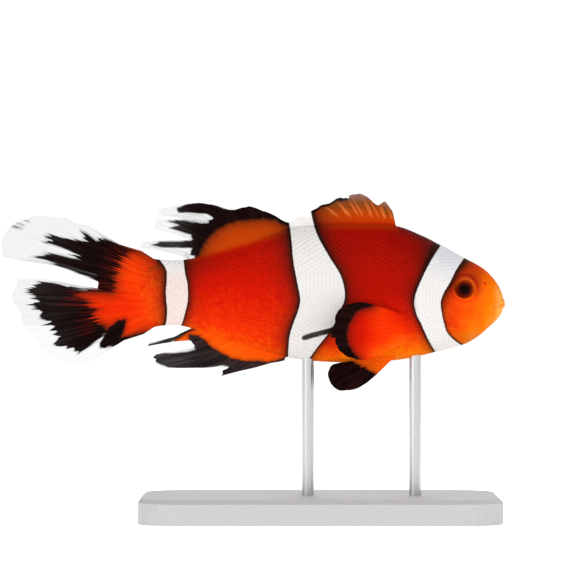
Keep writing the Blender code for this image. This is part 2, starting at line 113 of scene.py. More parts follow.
# The dark beside those edges: rows of (height, width of solid dark, distance of fading).
BAR_SHADES = (
    (((35, 0.25, 0.4), (38, 0.12, 0.6), (41, 0.08, 0.8), (44, 0.2, 1.5), (47, 0.35, 1.9),
      (50, 0.55, 2.3), (52, 0.7, 2.8)),
     ((35, 0.15, 1), (39, 0.15, 1), (43, 0.2, 1.1), (46, 0.25, 1.4), (49, 0.25, 1.2), (52, 0.5, 1.8),
      (54.5, 1.2, 2))),
    (((34, 0.2, 0.8), (37, 0.2, 0.8), (44, 0.25, 1.4), (49, 0.2, 1.4), (54, 0.25, 1.7), (58, 0.6, 1.7),
      (60, 0.5, 2.6), (63, 0.4, 2.8)),
     ((34, 0.25, 1.3), (37, 0.3, 1.6), (42, 0.3, 1.7), (46, 0.25, 2.2), (50, 0.3, 2.1), (53, 0.3, 2.2),
      (57, 0.5, 2.6), (60, 0.1, 1.5))),
    (((39, 0.1, 1.3), (43, 0.15, 1.3), (46, 0.1, 1.2), (49, 0.15, 1.6), (51, 0.2, 3), (53, 0.2, 3.2)),
     ((39, 0.3, 1.2), (43, 0.3, 1.5), (46, 0.3, 1.5), (49, 0.3, 2.6), (53, 0.2, 2.3))),
)

# Skin colours (linear) from the dark back through red and orange to the pale lip, by tone.
TONES = (
    (-0.2, (0.11, 0.003, 0.001)),
    (0.00, (0.28, 0.003, 0.001)),
    (0.28, (0.41, 0.005, 0.001)),
    (0.48, (0.6, 0.008, 0.001)),
    (0.63, (0.8, 0.03, 0.001)),
    (0.73, (0.9, 0.092, 0.002)),
    (0.84, (0.93, 0.18, 0.001)),
    (1.00, (0.88, 0.34, 0.06)),
)
TONE_LOW, TONE_SPAN = -0.2, 1.4
# Tones of the body's front and rear: rows of (rise, tone).
FRONT_TONES = (
    (-1, 0.88), (-0.83, 0.77), (-0.48, 0.56), (0.05, 0.27), (0.45, 0.2), (0.85, 0.06), (1, 0.1),
)
# Last rear rows: lighter at the back's edge, partly fin-base orange and partly painted light on the upturned
# top.
REAR_TONES = (
    (-1, 0.69), (-0.8, 0.64), (-0.42, 0.56), (0.1, 0.46), (0.78, 0.32), (0.9, 0.34), (0.95, 0.44), (1, 0.58),
)
# Whites of the bars, from the cool nape to the warm tail stalk.
WHITES = ((0.0, (0.73, 0.73, 0.77)), (0.5, (0.75, 0.73, 0.71)), (1.0, (0.77, 0.64, 0.59)))
BLACK = (0.0052, 0.0008, 0.0007)
CHARCOAL = (0.045, 0.043, 0.043)
SHADE = (0.012, 0.007, 0.004)
# Brownish orange of the dorsal fins, from the back to the spines' thin tips.
DUSKS = (
    (0.00, (0.44, 0.018, 0.001)),
    (0.3, (0.49, 0.046, 0.001)),
    (0.45, (0.41, 0.049, 0.002)),
    (0.6, (0.27, 0.046, 0.004)),
    (0.8, (0.21, 0.056, 0.014)),
    (1.00, (0.25, 0.12, 0.09)),
)
# Dusk of the spiny dorsal fin: rows of (height above the back, share of the way up DUSKS).
SPINE_DUSK = ((-0.5, 0.04), (0.0, 0.1), (1.2, 0.3), (2.4, 0.42), (3.2, 0.6), (4.4, 0.8), (5.6, 1.0))
SPINE_STROKE = (0.74, 0.17, 0.035)
CLEAR_EDGE = (0.5, 0.5, 0.51)
EMBER = (0.11, 0.006, 0.003)
# Share of the dark at the very edge of a mark.
DARKEST = 0.97
SKIN_GLOSS, FIN_GLOSS, EYE_GLOSS = 0.012, 0.008, 0.02
# Colours of the eye from the pupil's middle outwards, by share of IRIS_REACH.
IRIS_REACH = 2.5
IRIS = (
    (0.00, (0.001, 0.001, 0.001)), (0.28, (0.006, 0.001, 0.001)), (0.4, (0.03, 0.002, 0.001)),
    (0.52, (0.09, 0.005, 0.001)), (0.64, (0.22, 0.015, 0.001)), (0.76, (0.46, 0.05, 0.002)),
    (0.86, (0.64, 0.11, 0.01)), (1.00, (0.56, 0.08, 0.01)),
)
# The line on the back where red turns to the orange of the soft dorsal fin: place, height, slope.
BACK_GLOW = (-9.0, 56.8, 0.28)

# ---------------------------------------------------------------- fins

# Rows of (root along the body, tip along, tip height, bow of the ray), front to rear.
DORSAL_RAYS = (
    (15.4, 14.5, 61.8, 0), (14.6, 12.8, 63.8, 0.3), (13.8, 11.6, 63, 0.3), (12.8, 10, 64.2, 0.4),
    (11.7, 8.8, 65.1, 0.4), (10.6, 7.4, 65.4, 0.4), (9.6, 5.8, 64.9, 0.4), (9.1, 5.6, 64.4, 0.4),
    (7.9, 4.1, 64.6, 0.4), (6.6, 1.8, 63.5, 0.4), (5.4, 0, 62.9, 0.4), (3.6, -2.1, 61.5, 0.3),
    (0.6, -1.7, 60.4, 0), (-1.4, -2.6, 60.6, 0), (-3.6, -4, 60.7, 0), (-5.9, -6.2, 59.5, 0),
    (-7.4, -9.2, 61, 0), (-8.8, -12, 62.15, 0.2), (-10.6, -14.6, 62.85, 0.3), (-12, -17.4, 62.1, 0.6),
    (-13.6, -20.2, 62.8, 1.2), (-15, -24, 63.5, 2.4), (-16, -32.6, 62, 3.8), (-16.8, -32.6, 61, 3.4),
    (-17.6, -25.2, 61.2, 2.4), (-18.4, -21.4, 60, 0.8), (-19.4, -26.8, 60.2, 2.2),
    (-20.2, -33.2, 60, 2.6), (-21, -33.2, 58.4, 2.2), (-21.8, -28.4, 57.2, 1.4),
    (-22.8, -25.4, 56.1, 0.5), (-23.6, -30.4, 56, 1.3), (-24.4, -36, 55.6, 1.6), (-25, -36, 54.4, 1.3),
    (-25.6, -26.8, 53.8, 0.2), (-26.4, -27.2, 53, 0),
)
ANAL_RAYS = (
    (-6.4, -7.2, 31.8, 0), (-7.8, -9.4, 31.4, 0), (-9.4, -13.6, 30.3, 0.4), (-10.8, -19.9, 28.75, 0.5),
    (-11.4, -19.7, 29.8, 0.7), (-12, -17.2, 30.4, 0.6), (-13.6, -23.4, 30.4, 1.4), (-15.6, -31, 30.35, 2),
    (-17.6, -33.7, 32.1, 2), (-19.2, -32.6, 33.3, 1.7), (-20.4, -25.3, 34.2, 0.4),
    (-21.4, -25.9, 35.8, 0.2), (-22.2, -27.6, 35.8, 0.2), (-22.8, -34.6, 34.75, 0.5),
    (-23.4, -34.6, 35.4, 0.7), (-24, -30.2, 36.25, 0.2), (-24.6, -27.4, 37.6, 0),
)
TAIL_ROOT_X, TAIL_ROOT_TOP, TAIL_ROOT_BOTTOM = -32.6, 51.8, 38.95
TAIL_TIPS = (
    (-35.8, 53.9), (-39.6, 55), (-43.6, 56.55), (-46.4, 58.9), (-49.4, 59.8), (-52, 60.7), (-55.6, 60.9),
    (-59.3, 60.6), (-61.8, 59), (-63.8, 57.2), (-63.6, 52.7), (-57, 52), (-52.4, 50.6), (-47.2, 48.6),
    (-44.7, 47.6), (-44.6, 46.2), (-47.4, 46.2), (-52, 47.4), (-57, 48.4), (-61.2, 47.9), (-61.8, 45.4),
    (-61, 42), (-59.4, 38.6), (-57.2, 35.2), (-53.8, 32.4), (-50.2, 31), (-47.6, 30.8), (-44.2, 32.7),
    (-41, 35.2), (-38, 36.3), (-35.4, 37.1),
)
PECTORAL_ROOT_TOP, PECTORAL_ROOT_BOTTOM, PECTORAL_FLARE = (17.4, 40.6), (16.8, 35.4), 0.24
PECTORAL_TIPS = (
    (13.6, 42.2), (11, 42.9), (8.4, 43.65), (5.8, 43.3), (3.9, 42.35), (2.85, 40.8), (2.65, 38.9),
    (-3.8, 37.25), (-4.1, 35.95), (2.7, 36.9), (2.95, 35.4), (3.95, 33.8), (5.8, 32.6), (8.3, 32.1),
    (11, 32.7), (13.6, 33.9),
)
PELVIC_ROOT_FRONT, PELVIC_ROOT_REAR, PELVIC_ROOT_Y, PELVIC_FLARE = 15.7, 10.6, 1.7, 0.22
PELVIC_TIPS = (
    (11, 28.9), (9, 27.3), (6.8, 26.2), (4.4, 25.9), (2.35, 26.9), (1.55, 29.2), (2.5, 31), (5, 31.5),
    (8, 31.5),
)
SWAY_START_X, SWAY_LENGTH, SWAY_SIZE = -14.0, 26.0, 1.3
SWAY_TURN, SWAY_TWIST, SWAY_Z = 1.9, 0.08, 45.0

# Black marks on the fins: outlines of patches, and chains of (along, height, half width).
TAIL_PATCHES = (
    ((-45.8, 56.2), (-47.6, 55.8), (-49.4, 56.2), (-53.4, 56.8), (-55.5, 56.6), (-54, 56.1),
     (-55.4, 55.6), (-52.8, 55), (-50.6, 54.2), (-49, 53.2), (-48, 51.9), (-50.4, 52.5), (-52.4, 53.1),
     (-55, 53.2), (-58.2, 52.7), (-54.8, 51.9), (-51.2, 50.4), (-48.8, 49.5), (-46, 48.5), (-44.6, 47.3),
     (-44.8, 45.9), (-41.8, 45.6), (-41.2, 47), (-41.3, 49), (-40.4, 50.6), (-40.5, 51.8), (-39.3, 53.1),
     (-37.4, 53.9), (-40, 55), (-43, 56.2), (-44.8, 56.25)),
    ((-46.8, 45.9), (-49.6, 46.2), (-51.6, 47.1), (-54, 47.6), (-56, 47.6), (-58.6, 46), (-57.9, 45.2),
     (-56.6, 44.4), (-56.4, 43.4), (-56.8, 42.2), (-56, 40.6), (-54.2, 39.8), (-53.8, 38.8),
     (-53.2, 37.4), (-52.2, 36.4), (-52.6, 35.4), (-50.8, 34.4), (-48.6, 33.2), (-45.6, 35.2),
     (-43.4, 37), (-42.2, 38.6), (-43.8, 38.8), (-45, 39.4), (-45.5, 41.4), (-45.9, 43), (-47.4, 44.2),
     (-49.6, 45), (-47.6, 45.8)),
)
TAIL_STREAKS = (
    ((-42.6, 45.7, 0.02), (-46.8, 45.9, 0.15), (-50, 46.4, 0.3)),
    ((-45.4, 55.6, 0.7), (-46.8, 56.9, 0.4), (-48, 57.9, 0.05)),
    ((-39.1, 39.8, 0.2), (-40, 38.9, 0.95), (-41.1, 37.4, 1.45), (-42.2, 36.1, 1.4), (-43.2, 35.2, 0.9),
     (-43.9, 34.5, 0.2)),
    ((-34.6, 37.5, 0), (-37.6, 36.6, 0.22), (-39.8, 35.9, 0.5), (-41.6, 35.2, 0.5)),
    ((-32.6, 52.2, -0.3), (-35.8, 53.4, -0.2), (-39.4, 54.7, -0.05)),
    ((-59.7, 60.3, 0), (-58.9, 60, 0.07), (-58.1, 59.6, 0)),
    ((-60.6, 59.35, 0), (-59.8, 59.15, 0.06), (-59.1, 58.9, 0)),
    ((-61.7, 58.85, 0), (-60.8, 58.6, 0.13), (-59.5, 58.25, 0)),
)
TAIL_PALE = (((-53.6, 51.7, 0.1), (-49.0, 50.2, 0.16), (-44.8, 49.0, 0.1)),)
DORSAL_PATCHES = (
    ((-6, 58.9), (-6.8, 59.9), (-8.4, 61.2), (-10, 62), (-13.4, 63.2), (-15, 63.6), (-17, 62.2),
     (-19, 62.2), (-20.6, 62.9), (-22.6, 63.4), (-25, 63.6), (-27.4, 63.1), (-28.7, 62.4), (-28.5, 61.5),
     (-25, 61.4), (-22.7, 61.2), (-21.5, 60.5), (-22.5, 59.3), (-24, 59.3), (-25.7, 59.6), (-27.7, 60),
     (-30.6, 59.8), (-28.2, 59), (-30.2, 58.3), (-28.3, 57.8), (-25.7, 57), (-25.5, 55.9),
     (-28.3, 55.75), (-31.9, 55.7), (-34, 55), (-31.9, 54.5), (-25.7, 54.4), (-26, 53), (-24.6, 52.7),
     (-23.5, 54.9), (-22, 57.1), (-20.4, 58.4), (-18.6, 59.3), (-16.4, 60), (-14.4, 60.1),
     (-11.6, 60.35), (-9, 60.2), (-7.2, 59.1)),
)
DORSAL_STREAKS = (
    ((-2.4, 61.2, 0.25), (-1.2, 61.9, 0.38), (0, 62.6, 0.18)),
    ((0.4, 62.9, 0.22), (1.8, 63.4, 0.4), (2.8, 63.9, 0.2)),
    ((2.9, 64.2, 0.28), (4.2, 64.4, 0.5), (5.2, 64.4, 0.28)),
)
ANAL_PATCHES = (
    ((-26.2, 37), (-26.1, 35.7), (-24.9, 34.2), (-26.7, 33.7), (-29, 33.4), (-31.3, 33.4), (-32.9, 33.1),
     (-33.6, 32.5), (-32.7, 31.4), (-30.2, 30.4), (-26.7, 29.8), (-23.3, 30.3), (-20.7, 30.8),
     (-19, 30.9), (-18, 30.6), (-19.6, 30), (-20.6, 29.5), (-20.4, 28.4), (-18.6, 28.4), (-15.6, 29.2),
     (-12.4, 30.2), (-10.3, 31.3), (-11.7, 31.6), (-15, 31.7), (-17.7, 32.25), (-20, 33.3),
     (-21.7, 34.45), (-23, 35.7), (-24.2, 36.7)),
)
ANAL_STREAKS = (
    ((-34.4, 34.95, 0.25), (-33, 35.1, 0.42), (-31.6, 35.45, 0.48), (-30.4, 35.85, 0.5),
     (-29.2, 36.4, 0.42), (-28.2, 36.95, 0.34), (-26.6, 37.75, 0.16), (-24.9, 38.3, -0.05)),
    ((-6.6, 32.4, 0.15), (-8.8, 31.6, 0.18), (-10.8, 31.2, 0.22)),
)
PECTORAL_PATCHES = (
    ((10.4, 42.9), (8.5, 44), (7, 44.3), (5.3, 44.2), (3.2, 43), (2.2, 41), (2.1, 38.5), (2.2, 36.3),
     (2.8, 34), (4.8, 32.3), (6.7, 31.9), (7.7, 32.2), (6.4, 33.6), (5.4, 35.3), (5.1, 37.1),
     (5.4, 38.9), (6.1, 40.3), (6.7, 41.4), (7.8, 42.2)),
)
PECTORAL_STREAKS = (((-3.2, 36.55, 0.46), (-1.8, 37.0, 0.5), (0.0, 37.5, 0.5), (3.4, 38.3, 0.6)),)
# Line from which the pelvic fin is black: a point and the direction of the black.
PELVIC_INK_PLACE, PELVIC_INK_WAY = (10.5, 29.4), (-0.486, -0.874)
# Edges of the tail fin's membrane near its root: rows of (distance behind the middle, height).
TAIL_UPPER_EDGE = ((32.6, 51.8), (35.8, 53.5), (39.6, 54.9), (43.6, 56.8))
TAIL_LOWER_EDGE = ((32.6, 38.9), (35.4, 37.1), (38.0, 36.3), (41.0, 35.2))
# Edges of the fins' orange roots: rows of (along, height) or (height, along).
DORSAL_ORANGE = (
    (-25.4, 48), (-24.9, 51.6), (-24.2, 54), (-23.4, 56), (-22, 57.8), (-20, 59.6), (-17.6, 60.8),
    (-14.8, 61.4), (-11.6, 61.2), (-8.6, 60.6), (-6, 60.2), (-4, 75),
)
ANAL_ORANGE = (
    (-29.6, 40), (-29.1, 36.8), (-28.6, 35.8), (-26.6, 36.6), (-24.6, 36.6), (-23.4, 35.2), (-21.8, 33.8),
    (-19.6, 32.6), (-16.8, 31.8), (-14, 31.4), (-11.6, 31.2), (-10.6, 30), (-6, 27),
)
TAIL_ORANGE = (
    (34, -38), (36, -40), (38.2, -41), (38.8, -44), (39.6, -45.4), (40.8, -45.6), (42.4, -46),
    (43.4, -47.6), (45, -49), (45.6, -48), (46.1, -42), (48, -41.4), (50.4, -40.8), (52.8, -40.2),
    (54.8, -38.8), (58, -36),
)


def step(values, start, end):
    """Smooth step from 0 at start to 1 at end, for arrays; end may be the smaller number."""
    t = np.clip((np.asarray(values, float) - start) / (end - start), 0.0, 1.0)
    return t * t * (3 - 2 * t)


def bump_at(values, centre, width):
    return np.exp(-((values - centre) / width) ** 2)


def between(values, start, full, waning, end):
    """Smooth share that rises from start to full and falls from waning to end."""
    return step(values, start, full) * step(values, end, waning)


def blend(first, second, share):
    return first + (second - first) * share


def smooth_through(points, steps):
    """Rows of a Catmull-Rom curve through the given rows, steps to each interval."""
    rows = np.asarray(points, float)
    padded = np.vstack([rows[:1], rows, rows[-1:]])
    a, b, c, d = (padded[i:len(rows) - 1 + i, None, :] for i in range(4))
    t = (np.arange(steps) / steps)[None, :, None]
    curve = 0.5 * (2 * b + (c - a) * t + (2 * a - 5 * b + 4 * c - d) * t ** 2
                   + (3 * b - a - 3 * c + d) * t ** 3)
    return np.vstack([curve.reshape(-1, rows.shape[1]), rows[-1:]])


def value_at(places, line):
    """Value, at places, of a line given as rows of (place, value)."""
    return np.interp(places, *np.transpose(line))


def slope_at(places, line):
    at, value = np.transpose(line)
    return np.interp(places, at, np.gradient(value, at))


BODY = smooth_through(BODY_STATIONS, BODY_STEPS)
TAIL_END, SNOUT_END = BODY[0, 0], BODY[-1, 0]
BAR_EDGES = [[smooth_through(edge, EDGE_STEPS) for edge in bar] for bar in BARS]


def body_at(x):
    """Back, belly and half width at places along the body."""
    return tuple(np.interp(x, BODY[:, 0], BODY[:, column]) for column in (1, 2, 3))


def height_at(x, rise):
    back, belly, _ = body_at(x)
    return (back + belly) / 2 + (back - belly) / 2 * rise


def rise_at(x, z):
    back, belly, _ = body_at(x)
    return np.clip((z - (back + belly) / 2) / ((back - belly) / 2), -1.0, 1.0)


def section_width(rise):
    level = np.sqrt(np.clip(1.0 - rise ** 2, 0.0, 1.0))
    keel = BACK_KEEL * np.clip(rise, 0, 1) ** 2 + BELLY_KEEL * np.clip(-rise, 0, 1) ** 2
    return level ** (1.0 + keel)


def flank_y(x, z):
    return body_at(x)[2] * section_width(rise_at(x, z))


def body_share(x):
    """Share of the way from the stalk's end to the snout."""
    return (x - TAIL_END) / (SNOUT_END - TAIL_END)


def orbit_reach(x, z):
    return np.hypot(x - EYE[0], z - EYE[2] - ORBIT_ABOVE)


def nostril_reach(x, z):
    return np.hypot(x - NOSTRIL_X, z - NOSTRIL_Z)


def bare_distance(x, z):
    """Distance from the bare snout and the orbit, in millimetres, negative where bare."""
    face = FACE_X - FACE_SLOPE * np.abs(z - FACE_Z) + FACE_SHIFT * step(z, 46, 52) - x
    return np.minimum(face, orbit_reach(x, z) - ORBIT_RADIUS - ORBIT_BARE)


# ---------------------------------------------------------------- marking fields

def bar_fields(x, z):
    """Signed distance to the white bars, positive inside, and the dark line and fading beside them."""
    nearest, solid, fade = (np.full(np.shape(x), value) for value in (-FAR, 0.1, 1.0))
    for edges, shades in zip(BAR_EDGES, BAR_SHADES):
        sides = []
        for edge, sign in zip(edges, (1, -1)):
            sides.append(sign * (value_at(z, edge) - x) / np.sqrt(1 + slope_at(z, edge) ** 2))
        inside = np.minimum(*sides)
        for side, shade in zip(sides, shades):
            heights, lines, fades = np.transpose(shade)
            here = (inside > nearest) & (side == inside)
            solid = np.where(here, np.interp(z, heights, lines), solid)
            fade = np.where(here, np.interp(z, heights, fades), fade)
        nearest = np.maximum(nearest, inside)
    return {"bar": nearest, "line": solid, "fade": fade}


def body_tone(x, z):
    """Tone of the skin, from the dark back through red and orange to the pale lip."""
    rise = rise_at(x, z)
    front = value_at(rise, FRONT_TONES)
    front = front - 0.29 * step(rise, 0.84, 1.0) * step(x, 14.5, 16.5)
    front = front + 0.1 * step(rise, 0.6, 0.9) * step(x, 14.5, 11.5)
    front = front - 0.07 * step(x, 6.0, 2.0) * step(z, 38.0, 35.0)
    rear = value_at(rise, REAR_TONES)
    tail = 0.65 + 0.04 * rise ** 2
    head = 0.73 - 0.06 * bump_at(x, 25.5, 3.0) + 0.07 * step(z, 44, 37) * step(x, 27, 31)
    head = head + 0.09 * step(z, 39.5, 36.5) + 0.12 * step(x, 31.0, 35.0) + 0.2 * step(x, 34.4, 36.3)
    head = head - 0.05 * step(rise, 0.5, 1.0)
    tone = blend(front, rear, step(x, -2.0, -5.0))
    tone = blend(tone, tail, step(x, -28.0, -31.0))
    tone = blend(tone, head, step(x, 21.0, 23.5))
    # Painted shade in the nostril's pit.
    tone = tone - 0.35 * bump_at(nostril_reach(x, z), 0.0, 0.18)
    past_rim = orbit_reach(x, z) - ORBIT_RADIUS - 0.28
    over = 0.5 + 0.5 * step(z - EYE[2], -1.5, 1.5)
    return tone + 0.05 * bump_at(past_rim, 0.0, 0.15) - 0.1 * over * bump_at(past_rim, 0.5, 0.35)


def back_glow(x, z):
    """Share of the dorsal fins' orange, which runs a little way down the back."""
    place, height, slope = BACK_GLOW
    soft = step(z - height - slope * (x - place), -0.9, 0.8) * step(x, -4.5, -6.0)
    spiny = step(z - body_at(x)[0], -1.6, 0.2) * between(x, -1.5, 1.5, 14, 16)
    return soft + 0.8 * spiny


def face_dark_and_painted_shade(x, z):
    """Share of dark: painted shade on brow and jaw underside, painted shadow round the eye, darker cheek
    rear.
    """
    # Painted shade over the brow.
    brow = 0.34 * step(rise_at(x, z), 0.15, 0.85) * between(x, 23, 27, 31.4, 34.6)
    upper = z - EYE[2] + 0.8 * (x - EYE[0])
    # Painted shadow round the eye's upper side.
    brow = brow + 0.3 * step(orbit_reach(x, z), 4.3, 2.9) * step(upper, -1.2, 1.2)
    # Painted shade along the underside of the lower jaw.
    jaw = 0.3 * step(z, 39.4, 36.4) * step(x, 24.5, 27.0)
    cheek = 0.22 * between(x, 22.5, 24, 25, 29)
    return np.maximum(brow, np.maximum(jaw, cheek))


def white_warmth(x, z):
    """Warmth of the bars' white: cool on the nape, warm on the tail stalk."""
    high = step(rise_at(x, z), 0.2, 0.9)
    return 0.5 - 0.5 * high * step(x, 10, 16) + 0.5 * (1 - high) * step(x, -22, -26)


def body_fields(points):
    x, z = points[..., 0], points[..., 2]
    return dict(bar_fields(x, z), tone=body_tone(x, z), warmth=white_warmth(x, z),
                glow=back_glow(x, z), dim=face_dark_and_painted_shade(x, z))


def from_edge(x, z, start, end):
    """Distance from a straight edge, and the share of the way along it of its nearest place."""
    dx, dz = end[0] - start[0], end[1] - start[1]
    t = np.clip(((x - start[0]) * dx + (z - start[1]) * dz) / (dx * dx + dz * dz), 0, 1)
    return np.hypot(x - start[0] - t * dx, z - start[1] - t * dz), t


def patch_distance(x, z, patches):
    """Signed distance, positive inside, to closed patches given by their outlines."""
    nearest = np.full(np.shape(x), -FAR)
    for patch in patches:
        inside, away = np.zeros(np.shape(x), bool), FAR
        for start, end in zip(patch, patch[1:] + patch[:1]):
            away = np.minimum(away, from_edge(x, z, start, end)[0])
            if start[1] != end[1]:
                lean = (end[0] - start[0]) / (end[1] - start[1])
                crossed = (start[1] > z) != (end[1] > z)
                inside ^= crossed & (x < start[0] + (z - start[1]) * lean)
        nearest = np.maximum(nearest, np.where(inside, away, -away))
    return nearest


def chain_distance(x, z, chains):
    """Signed distance, positive inside, to chains of tapered streaks."""
    nearest = np.full(np.shape(x), -FAR)
    for chain in chains:
        for start, end in zip(chain, chain[1:]):
            away, t = from_edge(x, z, start, end)
            nearest = np.maximum(nearest, blend(start[2], end[2], t) - away)
    return nearest


# ---------------------------------------------------------------- mesh helpers

def add_object(name, data):
    made = bpy.data.objects.new(name, data)
    bpy.context.scene.collection.objects.link(made)
    return made


def make_piece(name, points, faces, material, replaced=(), fields=None, uv=None):
    """One mesh piece from points in millimetres, with named float fields per point."""
    mesh = bpy.data.meshes.new(name)
    loops = np.concatenate([np.asarray(block, np.int32).ravel() for block in faces])
    counts = np.concatenate([np.full(len(block), len(block[0]), np.int32) for block in faces])
    starts = np.concatenate([[0], np.cumsum(counts)[:-1]]).astype(np.int32)
    mesh.vertices.add(len(points))
    mesh.vertices.foreach_set("co", (np.asarray(points, np.float32) * MM).ravel())
    mesh.loops.add(len(loops))
    mesh.loops.foreach_set("vertex_index", loops)
    mesh.polygons.add(len(counts))
    mesh.polygons.foreach_set("loop_start", starts)
    mesh.polygons.foreach_set("use_smooth", np.ones(len(counts), bool))
    mesh.update(calc_edges=True)
    for field, values in (fields or {}).items():
        layer = mesh.attributes.new(field, "FLOAT", "POINT")
        layer.data.foreach_set("value", np.asarray(values, np.float32).ravel())
    if uv is not None:
        layer = mesh.uv_layers.new(name="OFBake")
        layer.data.foreach_set("uv", np.asarray(uv, np.float32)[loops].ravel())
    mesh.materials.append(material)
    piece = add_object(name, mesh)
    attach(piece, "root")
    if replaced:
        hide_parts(*replaced)


def grid_faces(rows, columns, start=0, wrap=False):
    """Quads of a grid of points numbered row by row."""
    index = start + np.arange(rows * columns).reshape(rows, columns)
    if wrap:
        index = np.hstack([index, index[:, :1]])
    corners = (index[:-1, :-1], index[:-1, 1:], index[1:, 1:], index[1:, :-1])
    return np.stack([c.ravel() for c in corners], axis=1)


def rim_of(rows, columns):
    """Indices round the border of a grid, in order."""
    index = np.arange(rows * columns).reshape(rows, columns)
    return np.concatenate([index[0, :-1], index[:-1, -1], index[-1, :0:-1], index[:0:-1, 0]])


def closed_sheet(near, far):
    """Points and quads of a closed sheet between two grids of the same shape."""
    rows, columns = near.shape[:2]
    count = rows * columns
    rim = rim_of(rows, columns)
    following = np.roll(rim, -1)
    side = np.stack([rim, rim + count, following + count, following], axis=1)
    top = grid_faces(rows, columns)
    bottom = grid_faces(rows, columns, count)[:, ::-1]
    return np.vstack([near.reshape(-1, 3), far.reshape(-1, 3)]), np.vstack([top, bottom, side])


def closed_tube(rings, ends):
    """Points and faces of a tube of rings, closed by a fan of triangles round each end point."""
    rows, columns = rings.shape[:2]
    first = np.arange(columns)
    last = first + (rows - 1) * columns
    centre = np.full(columns, rows * columns)
    start_cap = np.stack([centre, np.roll(first, -1), first], axis=1)
    end_cap = np.stack([centre + 1, last, np.roll(last, -1)], axis=1)
    points = np.vstack([rings.reshape(-1, 3), ends])
    return points, [grid_faces(rows, columns, wrap=True), start_cap, end_cap]


def turned(blocks):
    """The same faces with their outsides in."""
    return [block[:, ::-1] for block in blocks]


# ---------------------------------------------------------------- skin

HEAD_RINGS, TRUNK_RINGS, RING_POINTS = 200, 170, 256
HEAD_START_X, HEAD_CROWDING = 15.0, 1.5


def crowded(turn):
    """Angles round a section, from the back, brought closer together on the flanks."""
    return turn + 0.2 * np.sin(2 * turn)


def ring_places():
    """Places of the skin's rings, closer together towards the snout."""
    trunk = np.linspace(TAIL_END, HEAD_START_X, TRUNK_RINGS, endpoint=False)
    left = (1 - np.linspace(0, 1, HEAD_RINGS)) ** HEAD_CROWDING
    return np.concatenate([trunk, SNOUT_END - (SNOUT_END - HEAD_START_X) * left])


def skin_relief(x, z):
    """Height of the skin's folds above the plain body form."""
    behind = GILL_X + GILL_CURVE * (z - GILL_Z) ** 2 - x
    cover = 0.3 * np.exp(np.minimum(behind, 0) / 3.2) * step(behind, 0.14, -0.1)
    trough = -0.24 * np.exp(-np.maximum(behind, 0) / 0.7) * step(behind, -0.1, 0.14)
    relief = (cover + trough) * between(z, 32.5, 36, 52, 56)
    cheek = x - (CHEEK_X + CHEEK_CURVE * (z - GILL_Z) ** 2)
    swell = 0.1 * step(cheek, 0.0, 0.5) * np.exp(-np.maximum(cheek, 0) / 2.0)
    furrow = 0.13 * bump_at(cheek, -0.15, 0.22)
    relief = relief + (swell - furrow) * between(z, 34.5, 38, 46, 50)
    past = orbit_reach(x, z) - ORBIT_RADIUS
    relief = relief - 1.5 * step(past, 0.3, -0.06)
    relief = relief + 0.15 * bump_at(past, 0.42, 0.22) - 0.09 * bump_at(past, 0.95, 0.35)
    pit = nostril_reach(x, z)
    relief = relief + 0.07 * bump_at(pit, 0.42, 0.16) - 0.3 * bump_at(pit, 0.0, 0.24)
    gape = (z - MOUTH_Z - MOUTH_SLOPE * (x - MOUTH_X)) / math.sqrt(1 + MOUTH_SLOPE ** 2)
    lips = 0.17 * bump_at(gape, 0.42, 0.3) + 0.19 * bump_at(gape, -0.45, 0.32)
    folds = 0.1 * bump_at(gape, 1.05, 0.2) + 0.1 * bump_at(gape, -1.1, 0.22)
    slit = 0.2 * bump_at(gape, 0.0, 0.12)
    mouth = between(x, MOUTH_X - 0.3, MOUTH_X + 0.6, 36.55, 37.05)
    relief = relief + mouth * (lips - folds - slit)
    base = np.hypot((x - PECTORAL_BASE_X) / 1.5, (z - PECTORAL_BASE_Z) / 3.4)
    return relief + 0.4 * np.exp(-base ** 4)


def grid_normals(points):
    """Outward normals of a grid that closes on itself across its columns."""
    along = np.gradient(points, axis=0)
    round_it = np.roll(points, -1, axis=1) - np.roll(points, 1, axis=1)
    normals = np.cross(along, round_it)
    return normals / np.maximum(np.linalg.norm(normals, axis=2, keepdims=True), 1e-9)


def skin_grid():
    """Grid of skin points, tail to snout by angle, with their outward normals."""
    x = ring_places()[:, None]
    angle = crowded(2 * math.pi * np.arange(RING_POINTS) / RING_POINTS)
    rise = np.cos(angle)
    y = body_at(x)[2] * section_width(rise) * np.sign(np.sin(angle))
    z = height_at(x, rise)
    inset = COAT_DEPTH * step(bare_distance(x, z), -0.8, 3.0) * step(x, -36.5, -34.0)
    points = np.stack([x + 0 * z, y, z], axis=2)
    points = points + grid_normals(points) * (skin_relief(x, z) - inset)[..., None]
    return points, grid_normals(points), angle


def make_skin(grid, material):
    points, faces = closed_tube(grid, grid[[0, -1]].mean(axis=1))
    around = np.append(np.tile(np.arange(RING_POINTS) / RING_POINTS, len(grid)), [0.5, 0.5])
    replaced = ("head", "lower_jaw", "gill_cover_left", "gill_cover_right", "trunk", "tail_stalk")
    make_piece("skin", points, turned(faces), material, replaced, body_fields(points),
               np.stack([body_share(points[:, 0]), around], axis=1))


# ---------------------------------------------------------------- scales

SCALE_ACROSS, SCALE_ALONG = 5, 5
SCALES_START_X, SCALES_END_X, SCALES_PART_X = -35.6, 31.6, 5.0
RIDGE_SINE, RIDGE_END_X = 0.05, 15.6
# Length in column spacings, half width in widths, share that lies ahead of the root, and depth.
SCALE_LENGTH, SCALE_HALF, SCALE_AHEAD, SCALE_DEPTH = 1.62, 0.62, 0.45, 0.06
# Size of the spot of skin colour that one scale covers on the sheet of baked colour.
PATCH = 0.003
# Rows of (place along the body, spacing of the columns, width of a scale, or share of lift).
COLUMN_SPACING = ((-36, 0.52), (-28, 0.58), (-10, 0.76), (12, 0.84), (19, 0.72), (26, 0.6), (32, 0.46))
SCALE_WIDTH = ((-36, 0.58), (-20, 0.8), (5, 0.92), (20, 0.78), (32, 0.56))
SCALE_LIFT = ((-36, 0.6), (-28, 0.8), (15, 1.0), (26, 0.8), (32, 0.6))
